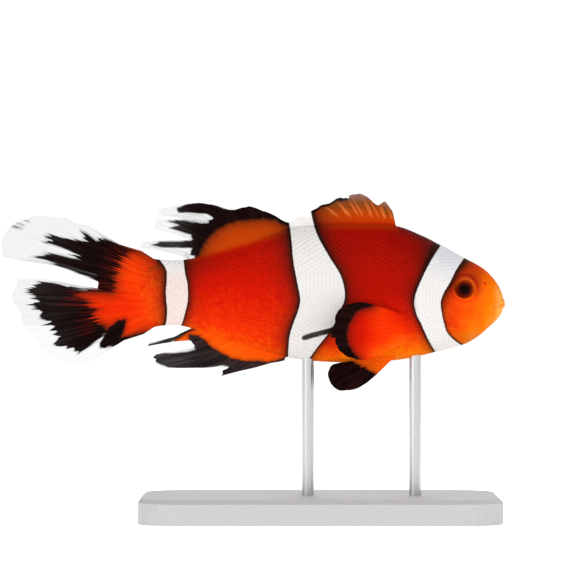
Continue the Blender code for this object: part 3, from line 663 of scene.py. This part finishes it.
# The lateral line of pored scales: rows of (place along the body, rise).
PORED_LINE = ((-22, 0.5), (0, 0.6), (17, 0.44))


def scale_roots():
    """Rows of (place, angle, spacing, width, random number) for every scale."""
    draw = np.random.default_rng(11)
    roots, x, half = [], SCALES_START_X, 0.0
    while x < SCALES_END_X:
        spacing = float(value_at(x, COLUMN_SPACING))
        back, belly, half_width = (float(v) for v in body_at(x))
        half_girth = math.pi * math.sqrt(((back - belly) ** 2 / 4 + half_width ** 2) / 2)
        rows = 2 * int(round(half_girth / value_at(x, SCALE_WIDTH)))
        for row in range(rows):
            angle = crowded(2 * math.pi * (row + half) / rows)
            roots.append((x, angle, spacing, 2 * half_girth / rows, draw.random()))
        x += spacing
        half = 0.5 - half
    roots = np.array(roots)
    roots[:, 0] += draw.normal(0, 0.02, len(roots))
    return roots[keep_scale(roots)]


def keep_scale(roots):
    """Leaves the orbit, snout, lips, chin and the ridge under the dorsal fins bare."""
    x, angle, draw = roots[:, 0], roots[:, 1], roots[:, 4]
    ridge = (np.abs(np.sin(angle)) < RIDGE_SINE) & (x < RIDGE_END_X)
    return (bare_distance(x, height_at(x, np.cos(angle))) > 0.9 * draw - 0.3) & ~ridge


def surface_sampler(points, normals, angles):
    """A function giving skin points and normals at any place and angle."""
    places = ring_places()
    angles = np.append(angles, 2 * math.pi)

    def sample(x, angle):
        row = np.interp(x, places, np.arange(len(places)))
        column = np.interp(np.mod(angle, 2 * math.pi), angles, np.arange(RING_POINTS + 1))
        i = np.minimum(row.astype(int), len(places) - 2)
        j = column.astype(int) % RING_POINTS
        n = (j + 1) % RING_POINTS
        s, t = (row - i)[..., None], (column - column.astype(int))[..., None]
        mixed = []
        for grid in (points, normals):
            low = grid[i, j] * (1 - t) + grid[i, n] * t
            high = grid[i + 1, j] * (1 - t) + grid[i + 1, n] * t
            mixed.append(low * (1 - s) + high * s)
        return mixed

    return sample


def scale_faces(rim, scales):
    """Faces of all scales: each a grid of points, then its rim again lower down as a floor."""
    count = SCALE_ALONG * SCALE_ACROSS
    floor = np.arange(len(rim)) + count
    side = np.stack([rim, floor, np.roll(floor, -1), np.roll(rim, -1)], axis=1)
    quads = np.vstack([grid_faces(SCALE_ALONG, SCALE_ACROSS), side])
    shift = (np.arange(scales) * (count + len(rim)))[:, None, None]
    return [(quads + shift).reshape(-1, 4), (floor[::-1] + shift).reshape(-1, len(rim))]


def make_scales(name, roots, sample, material):
    """One joined mesh of closed scale plates lying rearwards along the skin."""
    along = np.linspace(0, 1, SCALE_ALONG)[None, :, None]
    across = np.linspace(-1, 1, SCALE_ACROSS)[None, None, :]
    x, angle, spacing, width, draw = (roots[:, k][:, None, None] for k in range(5))
    rise = np.cos(angle)
    nudge = 0.01
    per_radian = np.linalg.norm(sample(x, angle + nudge)[0] - sample(x, angle)[0], axis=-1) / nudge
    length, half = SCALE_LENGTH * spacing, SCALE_HALF * width
    back = along * (1 - 0.3 * across ** 2 * along) - SCALE_AHEAD
    turn = across * half * (0.82 + 0.18 * np.sin(math.pi * along)) / per_radian
    base, normal = sample(x - back * length, angle + turn)
    fade = step(bare_distance(x, height_at(x, rise)), -0.3, 4.0)
    lift = 0.012 + 0.058 * along ** 1.4 + 0.022 * (1 - across ** 2)
    lift = lift * value_at(x, SCALE_LIFT) * (0.85 + 0.3 * draw) * (0.2 + 0.8 * fade)
    pored = bump_at(rise, value_at(x, PORED_LINE), 0.04) * between(x, -23, -19, 17, 18)
    lift = lift + 0.05 * pored * bump_at(across, 0.0, 0.3)
    lift = lift - (1 - fade) * (0.05 * (1 - along) ** 2 + 0.03 * across ** 4)
    scales, count, rim = len(roots), SCALE_ALONG * SCALE_ACROSS, rim_of(SCALE_ALONG, SCALE_ACROSS)
    top = (base + normal * lift[..., None]).reshape(scales, count, 3)
    floor = (base - normal * SCALE_DEPTH).reshape(scales, count, 3)[:, rim]
    points = np.concatenate([top, floor], axis=1)
    spot = np.stack(np.broadcast_arrays(0.5 - along[0], across[0] * 0.5), axis=2).reshape(count, 2)
    spot = np.vstack([spot, spot[rim]]) * PATCH
    centre = np.stack([body_share(roots[:, 0]), np.mod(roots[:, 1] / (2 * math.pi), 1.0)], axis=1)
    # Root to free edge, for painted shade at each scale's root and painted light at its rim.
    edge = np.broadcast_to(along + 0 * across, (scales, SCALE_ALONG, SCALE_ACROSS)).reshape(scales, count)
    edge = np.concatenate([edge, edge[:, rim]], axis=1)
    fields = body_fields(points)
    fields["grain"] = np.repeat(0.5 + (roots[:, 4] - 0.5) * fade.ravel(), points.shape[1])
    fields["edge"] = 0.5 + (edge - 0.5) * fade.reshape(-1, 1)
    uv = np.clip(centre[:, None] + spot, 0, 1).reshape(-1, 2)
    make_piece(name, points.reshape(-1, 3), scale_faces(rim, scales), material, (), fields, uv)


# ---------------------------------------------------------------- fins

PLAIN_FIN = {"bar": -9.0, "line": 0.0, "fade": 1.0, "dusk": 0.0, "dim": 0.0, "charcoal": 0.0,
             "ember": 0.12, "veil": 1.0}
FIN_EDGE_HALF, RAY_HALF_WIDTH, RAY_WAVE = 0.045, 0.16, 0.09
# How far the roots of the dorsal and anal fins are sunk in the body.
FIN_SUNK = 0.9
TEETH_PER_RAY, STEEPEST = 4, 3
# Teeth per ray of the comb that moves the fins' marks to and fro, and their share of its depth.
COMB = ((2, 1.0), (5, 1.3), (13, 1.5))


def sway(x, z):
    reach = np.maximum(SWAY_START_X - x, 0.0) / SWAY_LENGTH
    return SWAY_SIZE * np.sin(SWAY_TURN * reach + SWAY_TWIST * (z - SWAY_Z)) * np.minimum(reach, 1.0) ** 1.5


def tail_sway(x, z):
    """Sway of the tail fin, which leaves the stalk's end in line with it."""
    return sway(x, z) * step(x, -36.4, -45.0)


def beside_flank(x, z):
    """How far out a pectoral fin lies: rooted in the flank and flaring away from it."""
    roots = root_line(PECTORAL_ROOT_TOP, PECTORAL_ROOT_BOTTOM, len(PECTORAL_TIPS))
    flank = flank_y(roots[:, 0], roots[:, 1])
    start = np.interp(np.linspace(0, 1, len(x)), np.linspace(0, 1, len(flank)), flank)[:, None]
    away = PECTORAL_ROOT_TOP[0] - x
    return start + 0.25 + PECTORAL_FLARE * away - 0.75 * step(away, 2.4, -0.2)


def below_belly(x, z):
    """How far out a pelvic fin lies: rooted in the belly and spread a little."""
    hang = PELVIC_ROOT_Y + PELVIC_FLARE * np.maximum(31.5 - z + 0.3 * (14 - x), 0)
    sunk = 0.75 * step(z - body_at(x)[1], 0.2, 1.2)
    return np.maximum(hang, flank_y(x, z) + 0.16 - sunk)


def root_line(start, end, count):
    share = np.linspace(0, 1, count)[:, None]
    return np.array(start) * (1 - share) + np.array(end) * share


def eased(rows, share):
    """Rows read at shares of their length along a smooth curve that never overshoots."""
    rise = np.diff(rows, axis=0)
    product = rise[:-1] * rise[1:]
    inner = np.where(product > 0, 2 * product / np.where(product > 0, rise[:-1] + rise[1:], 1), 0)
    slope = np.vstack([rise[:1], inner, rise[-1:]])
    place = share * (len(rows) - 1)
    i = np.minimum(place.astype(int), len(rows) - 2)
    t = (place - i)[:, None]
    return (rows[i] * (1 + 2 * t) * (1 - t) ** 2 + slope[i] * t * (1 - t) ** 2
            + rows[i + 1] * t ** 2 * (3 - 2 * t) + slope[i + 1] * t ** 2 * (t - 1))


def fan_grid(roots, tips, bows, across, rows, reach):
    """Places (x, z) over a fan of rays, by column across and by row from root to tip."""
    along = tips - roots
    outward = np.stack([-along[:, 1], along[:, 0]], axis=1)
    outward /= np.linalg.norm(outward, axis=1, keepdims=True)
    outward *= np.where(outward[:, :1] < 0, -1.0, 1.0)
    knees = (roots + tips) / 2 + outward * np.reshape(bows, (-1, 1))
    root, knee, tip = (eased(group, across)[:, None, :] for group in (roots, knees, tips))
    t = (np.linspace(0, 1, rows)[None, :] * reach[:, None])[..., None]
    return root * (1 - t) ** 2 + knee * 2 * t * (1 - t) + tip * t ** 2


def ray_gap(across, cell, v, splits, spines):
    """Distance from the nearest ray branch, in ray spacings; the first rays are unbranched spines."""
    v = v * (across[:, None] > spines)
    first = 0.25 * step(v, splits[0], splits[0] + 0.3)
    second = 0.125 * step(v, splits[1], splits[1] + 0.25)
    return np.abs(np.abs(np.abs(cell) - first) - second)


def frayed(across, rays, depth, seed):
    """Reach of the membrane across a fin: scalloped between rays and a little ragged."""
    teeth = rays * TEETH_PER_RAY
    steps = np.random.default_rng(seed).random(teeth + 2)
    ragged = np.interp(across * teeth, np.arange(len(steps)), steps)
    scallop = np.abs(np.mod(across * rays, 1.0) - 0.5) * 2
    return 1 - depth * scallop ** 2 - 0.5 * depth * ragged


def combed(grid, across, rays, size, seed):
    """The grid's places moved to and fro along the rays, so that marks end in streaks."""
    draw = np.random.default_rng(seed)
    shift = 0.0
    for fineness, share in COMB:
        reach = draw.random(rays * fineness + 1) ** 2
        place = across * rays * fineness
        tooth = 1 - np.abs(2 * np.mod(place, 1.0) - 1)
        shift = shift + share * (0.17 - tooth * reach[place.astype(int)])
    way = grid[:, -1] - grid[:, grid.shape[1] // 2]
    way = way / np.linalg.norm(way, axis=1, keepdims=True)
    moved = grid + size * (shift[:, None] * way)[:, None, :]
    return moved[..., 0], moved[..., 1]


def edge_above(x, z, edge):
    """Distance above an edge given as heights along the body."""
    slope = np.clip(slope_at(x, edge), -STEEPEST, STEEPEST)
    return (z - value_at(x, edge)) / np.sqrt(1 + slope ** 2)


# Fields of the fins, from their plain places (x, z) and their combed places (u, w).

def dorsal_fields(x, z, u, w):
    above = z - body_at(x)[0]
    spiny, soft = step(x, -2.0, 0.5), step(x, -5.0, -8.0)
    height = value_at(above, SPINE_DUSK) + 0.22 * step(x, 11.6, 13.0) * step(above, 0.8, 2.4)
    bars = bar_fields(x, z)
    bars["bar"] = np.where(x > -15, bars["bar"], PLAIN_FIN["bar"])
    return dict(bars, orange=-edge_above(u, w, DORSAL_ORANGE), tone=0.1 + 0.4 * soft,
                dusk=spiny * height + 0.3 * soft * back_glow(x, z),
                dim=0.5 * spiny * step(x, 3.4, -0.6) * step(above, 0.0, 1.6),
                veil=1.0 - 0.7 * between(x, -7, -6, -2, -1), fray=0.25, ember=0.05,
                blur=np.where(x > -4, 0.35, 1.35), charcoal=0.9 * step(x, -24, -32))


def anal_fields(x, z, u, w):
    return dict(orange=edge_above(u, w, ANAL_ORANGE), blur=0.45, fray=0.25, ember=0.3,
                tone=0.7 + 0.03 * step(body_at(x)[1] - z, 0, 2), charcoal=0.3 + 0.35 * step(x, -22, -32))


def tail_fields(x, z, u, w):
    core = bump_at(z, 42.5, 3.4) * step(x, -34, -40)
    pale = 1.3 * step(chain_distance(x, z, TAIL_PALE), -0.15, 0.1)
    below_top = value_at(-x, TAIL_UPPER_EDGE) - z
    above_low = z - value_at(-x, TAIL_LOWER_EDGE)
    return dict(bar_fields(x, z), orange=0.5 + edge_above(w, u, TAIL_ORANGE), tone=0.64 - 0.07 * core,
                fray=0.45, blur=0.45 + 0.7 * step(np.hypot(x + 39.5, z - 40.0), 1.0, 4.5),
                ember=0.8 * step(np.hypot(x + 41.6, z - 37.2), 2.6, 5.0),
                charcoal=np.maximum(0.16 * step(x, -46, -56), pale),
                dim=np.maximum(0.4 * step(below_top, 3.6, -0.4), 0.55 * step(above_low, 1.5, 0.0)))


def pectoral_fields(x, z, u, w):
    blade = 0.6 - 0.2 * step(x, 12.5, 6.5) + 0.12 * step(z, 36.5, 33.0)
    edge = step(x, 2.6, -0.4)
    return dict(orange=x - 4.2, tone=blend(body_tone(x, z), blade, step(x, 16.2, 12.0)), blur=1.0,
                fray=0.2, veil=0.0, charcoal=0.6 * edge, ember=0.12 + 1.6 * edge)


def pelvic_fields(x, z, u, w):
    (x0, z0), (dx, dz) = PELVIC_INK_PLACE, PELVIC_INK_WAY
    return dict(ink=(u - x0) * dx + (w - z0) * dz, orange=3.0, tone=0.74, blur=0.6, fray=0.3)


# Each fin's rays and share of unbranched spines, the shares of a ray at which it splits, half the
# thickness of its root, the height of its rays, its grid, the depth and seed of its fraying and of
# its combing, its fields and its black marks.
FINS = {
    "dorsal": (27, 0.36, (0.45, 0.75), 0.5, 0.1, (520, 60), (0.03, 3), (0.28, 21),
               dorsal_fields, DORSAL_PATCHES, DORSAL_STREAKS),
    "anal": (14, 0, (0.4, 0.7), 0.5, 0.1, (300, 60), (0.04, 5), (0.3, 22),
             anal_fields, ANAL_PATCHES, ANAL_STREAKS),
    "tail": (17, 0, (0.3, 0.6), 0.6, 0.11, (440, 90), (0.03, 7), (1.35, 23),
             tail_fields, TAIL_PATCHES, TAIL_STREAKS),
    "pectoral": (16, 0, (0.4, 0.72), 0.4, 0.07, (240, 60), (0.01, 9), (0.16, 24),
                 pectoral_fields, PECTORAL_PATCHES, PECTORAL_STREAKS),
    "pelvic": (6, 0, (0.3, 0.6), 0.45, 0.09, (150, 50), (0.01, 13), (0.3, 25),
               pelvic_fields, (), ()),
}


def make_fin(kind, word, roots, tips, middle, material, replaced, bows=0.0, side=1):
    """A closed, thin fin with raised branching rays, about a middle surface."""
    rays, spines, splits, root_half, ridge, size, fray, comb, marks, patches, streaks = FINS[kind]
    across, v = np.linspace(0, 1, size[0]), np.linspace(0, 1, size[1])[None, :]
    grid = fan_grid(roots, np.array(tips), bows, across, size[1], frayed(across, rays, *fray))
    x, z = grid[..., 0], grid[..., 1]
    u, w = combed(grid, across, rays, *comb)
    cell = np.mod(across[:, None] * rays, 1.0) - 0.5
    width = np.linalg.norm(grid[-1] - grid[0], axis=1)[None, :] / rays
    gap = ray_gap(across, cell, v, splits, spines) * np.maximum(width, 0.2)
    stem = np.exp(-(gap / RAY_HALF_WIDTH) ** 2)
    half = FIN_EDGE_HALF + (root_half - FIN_EDGE_HALF) * (1 - v) ** 3 + stem * ridge * (1 - 0.6 * v)
    centre = side * middle(x, z) + RAY_WAVE * np.cos(2 * math.pi * cell) * v
    points, faces = closed_sheet(*(np.stack([x, centre + out, z], axis=2) for out in (-half, half)))
    ink = np.maximum(patch_distance(u, w, patches), chain_distance(x, z, streaks))
    fields = {**PLAIN_FIN, "ink": ink, **marks(x, z, u, w),
              "stem": stem, "across": across[:, None] * rays, "along": v}
    both = {key: np.tile((value + 0 * x).ravel(), 2) for key, value in fields.items()}
    across_uv = both["across"] / rays * 0.98 + 0.01
    along_uv = both["along"] * 0.48 + np.repeat([0.01, 0.51], x.size)
    make_piece("fin_" + kind + word, points, [faces], material, replaced, both,
               np.stack([across_uv, along_uv], axis=1))


def make_fins(material):
    for kind, table, edge, sunk, replaced in (
            ("dorsal", DORSAL_RAYS, 0, -FIN_SUNK, ("dorsal_fin_spiny", "dorsal_fin_soft")),
            ("anal", ANAL_RAYS, 1, FIN_SUNK, ("anal_fin",))):
        root_x, *tips, bows = np.transpose(table)
        roots = np.stack([root_x, body_at(root_x)[edge] + sunk], axis=1)
        make_fin(kind, "", roots, np.transpose(tips), sway, material, replaced, bows)
    roots = root_line((TAIL_ROOT_X, TAIL_ROOT_TOP), (TAIL_ROOT_X, TAIL_ROOT_BOTTOM), len(TAIL_TIPS))
    make_fin("tail", "", roots, TAIL_TIPS, tail_sway, material, ("caudal_fin",))
    flank = root_line(PECTORAL_ROOT_TOP, PECTORAL_ROOT_BOTTOM, len(PECTORAL_TIPS)) + (0.3, 0.0)
    low = body_at(np.array([PELVIC_ROOT_FRONT, PELVIC_ROOT_REAR]))[1]
    belly = root_line((PELVIC_ROOT_FRONT, low[0] + 1.4), (PELVIC_ROOT_REAR, low[1] + 1.2),
                      len(PELVIC_TIPS))
    for side, word in ((RIGHT, "_right"), (LEFT, "_left")):
        make_fin("pectoral", word, flank, PECTORAL_TIPS, beside_flank, material,
                 ("pectoral_fin" + word,), side=side)
        make_fin("pelvic", word, belly, PELVIC_TIPS, below_belly, material,
                 ("pelvic_fin" + word,), side=side)


# ---------------------------------------------------------------- eyes

def make_eye(word, side, material):
    """Closed eyeball with a slightly domed pupil, which looks a little down."""
    polar = np.linspace(0, math.pi / 2 * EYE_WRAP, EYE_RINGS)[:, None]
    turn = np.linspace(0, 2 * math.pi, EYE_TURNS, endpoint=False)
    across, up = EYE_RADIUS * np.sin(polar) * np.cos(turn), EYE_RADIUS * np.sin(polar) * np.sin(turn)
    off = np.hypot(across, up + GAZE_DOWN) - PUPIL_RADIUS
    dome = PUPIL_DOME * step(off, 0.22, -0.03) * (polar < math.pi / 2)
    out = side * (abs(EYE[1]) + EYE_HALF_DEPTH * np.cos(polar) + dome)
    rings = np.stack([EYE[0] + across, out, EYE[2] + up], axis=2)
    ends = np.vstack([rings[:1, 0], rings[-1:].mean(axis=1)])
    points, faces = closed_tube(rings[1:], ends)
    across, up = points[:, 0] - EYE[0], points[:, 2] - EYE[2] + GAZE_DOWN
    spin = np.arctan2(up, across)
    fields = {"away": np.hypot(across, up), "spin_c": np.cos(spin), "spin_s": np.sin(spin)}
    make_piece("eyeball_" + word, points, turned(faces) if side > 0 else faces, material,
               ("eye_" + word,), fields)


# ---------------------------------------------------------------- materials

class Flow:
    """A value on its way between nodes; arithmetic with it adds Math nodes."""

    def __init__(self, recipe, socket):
        self.recipe, self.socket = recipe, socket

    def __add__(self, other):
        return self.recipe.math("ADD", self, other)

    def __sub__(self, other):
        return self.recipe.math("SUBTRACT", self, other)

    def __rsub__(self, other):
        return self.recipe.math("SUBTRACT", other, self)

    def __mul__(self, other):
        return self.recipe.math("MULTIPLY", self, other)

    def __truediv__(self, other):
        return self.recipe.math("DIVIDE", self, other)

    def __neg__(self):
        return self * -1.0


class Recipe:
    """A node material under construction around one Principled shader."""

    def __init__(self, name):
        self.material = bpy.data.materials.new(name)
        self.material.use_nodes = True
        self.tree = self.material.node_tree
        self.shader = self.tree.nodes["Principled BSDF"]

    def plug(self, node, inputs):
        for key, value in inputs.items():
            socket = node.inputs[key]
            if isinstance(value, Flow):
                self.tree.links.new(value.socket, socket)
            else:
                socket.default_value = (*value, 1.0) if socket.type == "RGBA" else value

    def node(self, kind, inputs, output, **settings):
        made = self.tree.nodes.new(kind)
        for key, value in settings.items():
            setattr(made, key, value)
        self.plug(made, inputs)
        return Flow(self, made.outputs[output])

    def field(self, name):
        return self.node("ShaderNodeAttribute", {}, "Fac", attribute_name=name)

    def math(self, operation, first, second=0.0):
        return self.node("ShaderNodeMath", {0: first, 1: second}, 0, operation=operation)

    def most(self, first, *others):
        for other in others:
            first = self.math("MAXIMUM", first, other)
        return first

    def step(self, value, low, high, to_low=0.0, to_high=1.0):
        return self.node("ShaderNodeMapRange", {"Value": value, "From Min": low, "From Max": high,
                                                "To Min": to_low, "To Max": to_high},
                         "Result", interpolation_type="SMOOTHSTEP")

    def mix(self, share, first, second):
        return self.node("ShaderNodeMix", {0: share, 6: first, 7: second}, 2, data_type="RGBA")

    def ramp(self, value, stops):
        made = self.node("ShaderNodeValToRGB", {"Fac": value}, "Color")
        elements = made.socket.node.color_ramp.elements
        while len(elements) < len(stops):
            elements.new(0.5)
        for element, (place, colour) in zip(elements, stops):
            element.position = place
            element.color = (*colour, 1.0)
        return made

    def warm(self, tone):
        """Skin colour of a tone, from TONES."""
        stops = [((place - TONE_LOW) / TONE_SPAN, colour) for place, colour in TONES]
        return self.ramp((tone - TONE_LOW) / TONE_SPAN, stops)

    def fading(self, gap, reach):
        """Share of dark, which is full up to a mark's edge and fades out over the gap beyond it."""
        return self.math("EXPONENT", -self.most(gap, 0.0) / self.field(reach))

    def shade_beside(self, bar):
        """Dark beside a white bar, full for the bar's own line and then fading out."""
        return self.fading(-bar - self.field("line"), "fade")

    def place(self):
        return self.node("ShaderNodeTexCoord", {}, "Object")

    def noise(self, scale, detail=3.0, vector=None, roughness=0.55):
        return self.node("ShaderNodeTexNoise", {"Scale": scale, "Detail": detail, "Roughness": roughness,
                                                "Vector": vector or self.place()}, "Fac")

    def join(self, x, y, z):
        return self.node("ShaderNodeCombineXYZ", {0: x, 1: y, 2: z}, 0)

    def bump(self, height, distance, strength=0.5):
        values = {"Height": height, "Distance": distance, "Strength": strength}
        self.plug(self.shader, {"Normal": self.node("ShaderNodeBump", values, "Normal")})

    def finish(self, colour, roughness, specular, metallic=0.0):
        self.plug(self.shader, {"Base Color": colour, "Roughness": roughness, "Metallic": metallic,
                                "Specular IOR Level": specular})
        return self.material


def body_colour(skin, tone):
    """Orange to red skin with white bars edged in black, from the marking fields."""
    tone = tone + (skin.noise(420.0, 4.0) - 0.5) * 0.16
    warm = skin.mix(skin.field("glow"), skin.warm(tone), DUSKS[1][1])
    bar = skin.field("bar") + (skin.noise(2600.0, 2.0) - 0.5) * 0.16
    # The dim field brings painted shade over the brow and under the jaw, and a painted shadow round the eye.
    shade = skin.most(skin.shade_beside(bar), skin.field("dim"))
    inked = skin.mix(shade * DARKEST, warm, SHADE)
    white = skin.ramp(skin.field("warmth") + (skin.noise(160.0, 2.0) - 0.5) * 0.5, WHITES)
    return skin.mix(skin.step(bar, -0.07, 0.07), inked, white)


def skin_material():
    skin = Recipe("clownfish_skin")
    colour = body_colour(skin, skin.field("tone"))
    skin.bump(skin.noise(3200.0), 0.00004)
    return skin.finish(colour, skin.step(skin.noise(900.0), 0.2, 0.8, 0.42, 0.55), SKIN_GLOSS)


def scale_material():
    """Skin colours; scales a little off one another, with painted shade at each root and light at each rim.
    """
    scale = Recipe("clownfish_scales")
    grain, edge = scale.field("grain"), scale.field("edge")
    # grain is each scale's own tone; edge paints shade at the root and light at the rim.
    spread_and_painted_shade = (grain - 0.5) * 0.05 + (edge - 0.5) * 0.04
    colour = body_colour(scale, scale.field("tone") + spread_and_painted_shade)
    scale.bump(scale.noise(5200.0), 0.00003, 0.4)
    return scale.finish(colour, scale.step(grain, 0.0, 1.0, 0.36, 0.48), SKIN_GLOSS)


def fin_material():
    """Orange roots, black marks and a thin clear margin over pale rays."""
    fin = Recipe("clownfish_fins")
    across, along, stem, dusk, bar = map(fin.field, ("across", "along", "stem", "dusk", "bar"))
    fine = fin.join(across * 6.0, along * 1.6, 0.3)
    fibre = fin.noise(1.0, 3.0, fine, 0.6) - 0.5
    jag = fibre * 1.9 * fin.field("fray")
    ink, orange = fin.field("ink") + jag, fin.field("orange") + jag
    orange_share, ink_share = fin.step(orange, -1.0, -0.5), fin.step(ink, -0.2, 0.26)
    bar_share = fin.step(bar, -0.12, 0.06)

    warm = fin.warm(fin.field("tone") + fibre * 0.11 + stem * 0.03)
    warm = fin.mix(fin.step(dusk, 0.0, 0.22), warm, fin.ramp(dusk, DUSKS))
    cell = fin.math("ABSOLUTE", fin.math("FRACT", across) - 0.5)
    strokes = fin.step(dusk, 0.28, 0.42) * fin.step(dusk, 0.55, 0.95, 0.8, 0.1)
    warm = fin.mix(strokes * fin.step(cell + fibre, 0.26, 0.0), warm, SPINE_STROKE)
    shade = fin.most(fin.fading(-ink, "blur"), fin.shade_beside(bar), fin.field("dim"))
    warm = fin.mix(shade * DARKEST, warm, SHADE)
    colour = fin.mix(orange_share, CLEAR_EDGE, warm)

    worn = (fin.field("charcoal") + 0.045) * fin.step(fibre, -0.1, 0.16, 0.45, 1.7)
    ember = fin.step(orange, -3.2, 0.6) * fin.step(fibre, -0.04, 0.18) * fin.field("ember")
    black = fin.mix(ember, fin.mix(worn, BLACK, CHARCOAL), EMBER)
    rim = fin.step(ink, -0.4, -0.12) * (1.0 - orange_share)
    colour = fin.mix(fin.most(ink_share, rim), colour, black)
    colour = fin.mix(bar_share, colour, WHITES[1][1])

    veil = (stem * 0.08 + 0.12) * fin.field("veil")
    solid = fin.most(ink_share, orange_share, bar_share) - fin.step(dusk, 0.7, 1.0, 0.0, 0.15)
    fin.plug(fin.shader, {"Alpha": fin.most(solid, veil)})
    fin.bump(fin.noise(1.0, 2.0, fine), 0.00005)
    return fin.finish(colour, fin.step(fin.noise(700.0, 2.0), 0.2, 0.8, 0.42, 0.58), FIN_GLOSS)


def eye_material():
    eye = Recipe("clownfish_eye")
    away = eye.field("away")
    spin = eye.join(eye.field("spin_c"), eye.field("spin_s"), away * 0.15)
    fibre = eye.noise(9.0, 4.0, spin) - 0.5
    eye.bump(fibre, 0.00004, 0.3)
    return eye.finish(eye.ramp((away + fibre * 0.12) / IRIS_REACH, IRIS), 0.12, EYE_GLOSS)


def stand_materials():
    base = Recipe("stand_base_satin")
    speck = base.noise(2200.0, 4.0)
    base.bump(speck, 0.00003, 0.4)
    base.finish(base.mix(base.step(speck, 0.35, 0.65), (0.53, 0.53, 0.53), (0.49, 0.49, 0.49)),
                base.step(base.noise(500.0), 0.25, 0.75, 0.42, 0.52), 0.4)
    rod = Recipe("stand_rod_steel")
    stretch = {"Vector": rod.place(), "Scale": (9000.0, 9000.0, 60.0)}
    drawn = rod.noise(1.0, 3.0, rod.node("ShaderNodeMapping", stretch, "Vector"))
    rod.bump(drawn, 0.00001, 0.3)
    rod.finish(rod.mix(drawn, (0.52, 0.52, 0.53), (0.7, 0.7, 0.71)),
               rod.step(drawn, 0.2, 0.8, 0.24, 0.36), 0.5, metallic=1.0)
    for node, recipe in (("stand_base", base), ("stand_rod_front", rod), ("stand_rod_rear", rod)):
        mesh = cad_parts[node].data
        mesh.materials.clear()
        mesh.materials.append(recipe.material)


# ---------------------------------------------------------------- stage

VIEW_WIDTH, CAMERA_DISTANCE, SENSOR = 115.2, 750.0, 36.0
VIEW_X, VIEW_Z = -6.4, 46.4
FLOOR_RADIUS, FLOOR_CORNERS, FLOOR_GLOW = 4.0, 64, 0.75
WORLD_LIGHT, WORLD_SEEN = 0.42, 1.04
# Rows of (name, place, width and height in metres, power).
SOFTBOXES = (
    ("key_softbox", (150, -520, 420), (0.5, 0.4), 1.5),
    ("fill_softbox", (-420, -420, 160), (0.45, 0.45), 0.7),
    ("back_softbox", (60, 440, 420), (0.5, 0.4), 1.6),
)


def make_floor():
    white = Recipe("studio_floor")
    colour = white.mix(white.noise(30.0, 2.0), (0.93, 0.93, 0.93), (0.95, 0.95, 0.95))
    white.finish(colour, 0.9, 0.0)
    white.plug(white.shader, {"Emission Color": (1, 1, 1), "Emission Strength": FLOOR_GLOW})
    mesh = bpy.data.meshes.new("studio_floor")
    turns = [2 * math.pi / FLOOR_CORNERS * k for k in range(FLOOR_CORNERS)]
    ring = [(FLOOR_RADIUS * math.cos(turn), FLOOR_RADIUS * math.sin(turn), cad_low.z) for turn in turns]
    mesh.from_pydata(ring, [], [tuple(range(FLOOR_CORNERS))])
    mesh.materials.append(white.material)
    add_object("studio_floor", mesh)


def make_world():
    """White surroundings, brighter where the camera sees them than as a light."""
    world = bpy.data.worlds.new("studio")
    bpy.context.scene.world = world
    world.use_nodes = True
    tree = world.node_tree
    seen = tree.nodes.new("ShaderNodeLightPath")
    strength = tree.nodes.new("ShaderNodeMapRange")
    strength.inputs["To Min"].default_value = WORLD_LIGHT
    strength.inputs["To Max"].default_value = WORLD_SEEN
    shade = tree.nodes["Background"]
    shade.inputs["Color"].default_value = (1, 1, 1, 1)
    tree.links.new(seen.outputs["Is Camera Ray"], strength.inputs["Value"])
    tree.links.new(strength.outputs["Result"], shade.inputs["Strength"])


def make_lights():
    for name, place, size, power in SOFTBOXES:
        light = bpy.data.lights.new(name, "AREA")
        light.shape = "RECTANGLE"
        light.size, light.size_y = size
        light.energy = power
        lamp = add_object(name, light)
        lamp.location = Vector(place) * MM
        aim = Vector((VIEW_X, 0.0, VIEW_Z)) * MM - lamp.location
        lamp.rotation_euler = aim.to_track_quat("-Z", "Y").to_euler()


def make_camera():
    data = bpy.data.cameras.new("camera")
    data.sensor_width = SENSOR
    data.lens = SENSOR * CAMERA_DISTANCE / VIEW_WIDTH
    data.clip_start, data.clip_end = 0.01, 20.0
    camera = add_object("camera", data)
    camera.location = Vector((VIEW_X, -CAMERA_DISTANCE, VIEW_Z)) * MM
    camera.rotation_euler = (math.pi / 2, 0, 0)
    scene = bpy.context.scene
    scene.camera = camera
    scene.view_settings.view_transform = "Standard"
    scene.view_settings.look = "None"


def main():
    points, normals, angles = skin_grid()
    make_skin(points, skin_material())
    sample = surface_sampler(points, normals, angles)
    roots = scale_roots()
    plates = scale_material()
    left, fore = np.sin(roots[:, 1]) >= 0, roots[:, 0] > SCALES_PART_X
    for word, on_side in (("left", left), ("right", ~left)):
        make_scales("scales_fore_" + word, roots[on_side & fore], sample, plates)
        make_scales("scales_rear_" + word, roots[on_side & ~fore], sample, plates)
    make_fins(fin_material())
    iris = eye_material()
    make_eye("right", RIGHT, iris)
    make_eye("left", LEFT, iris)
    stand_materials()
    make_floor()
    make_world()
    make_lights()
    make_camera()


main()
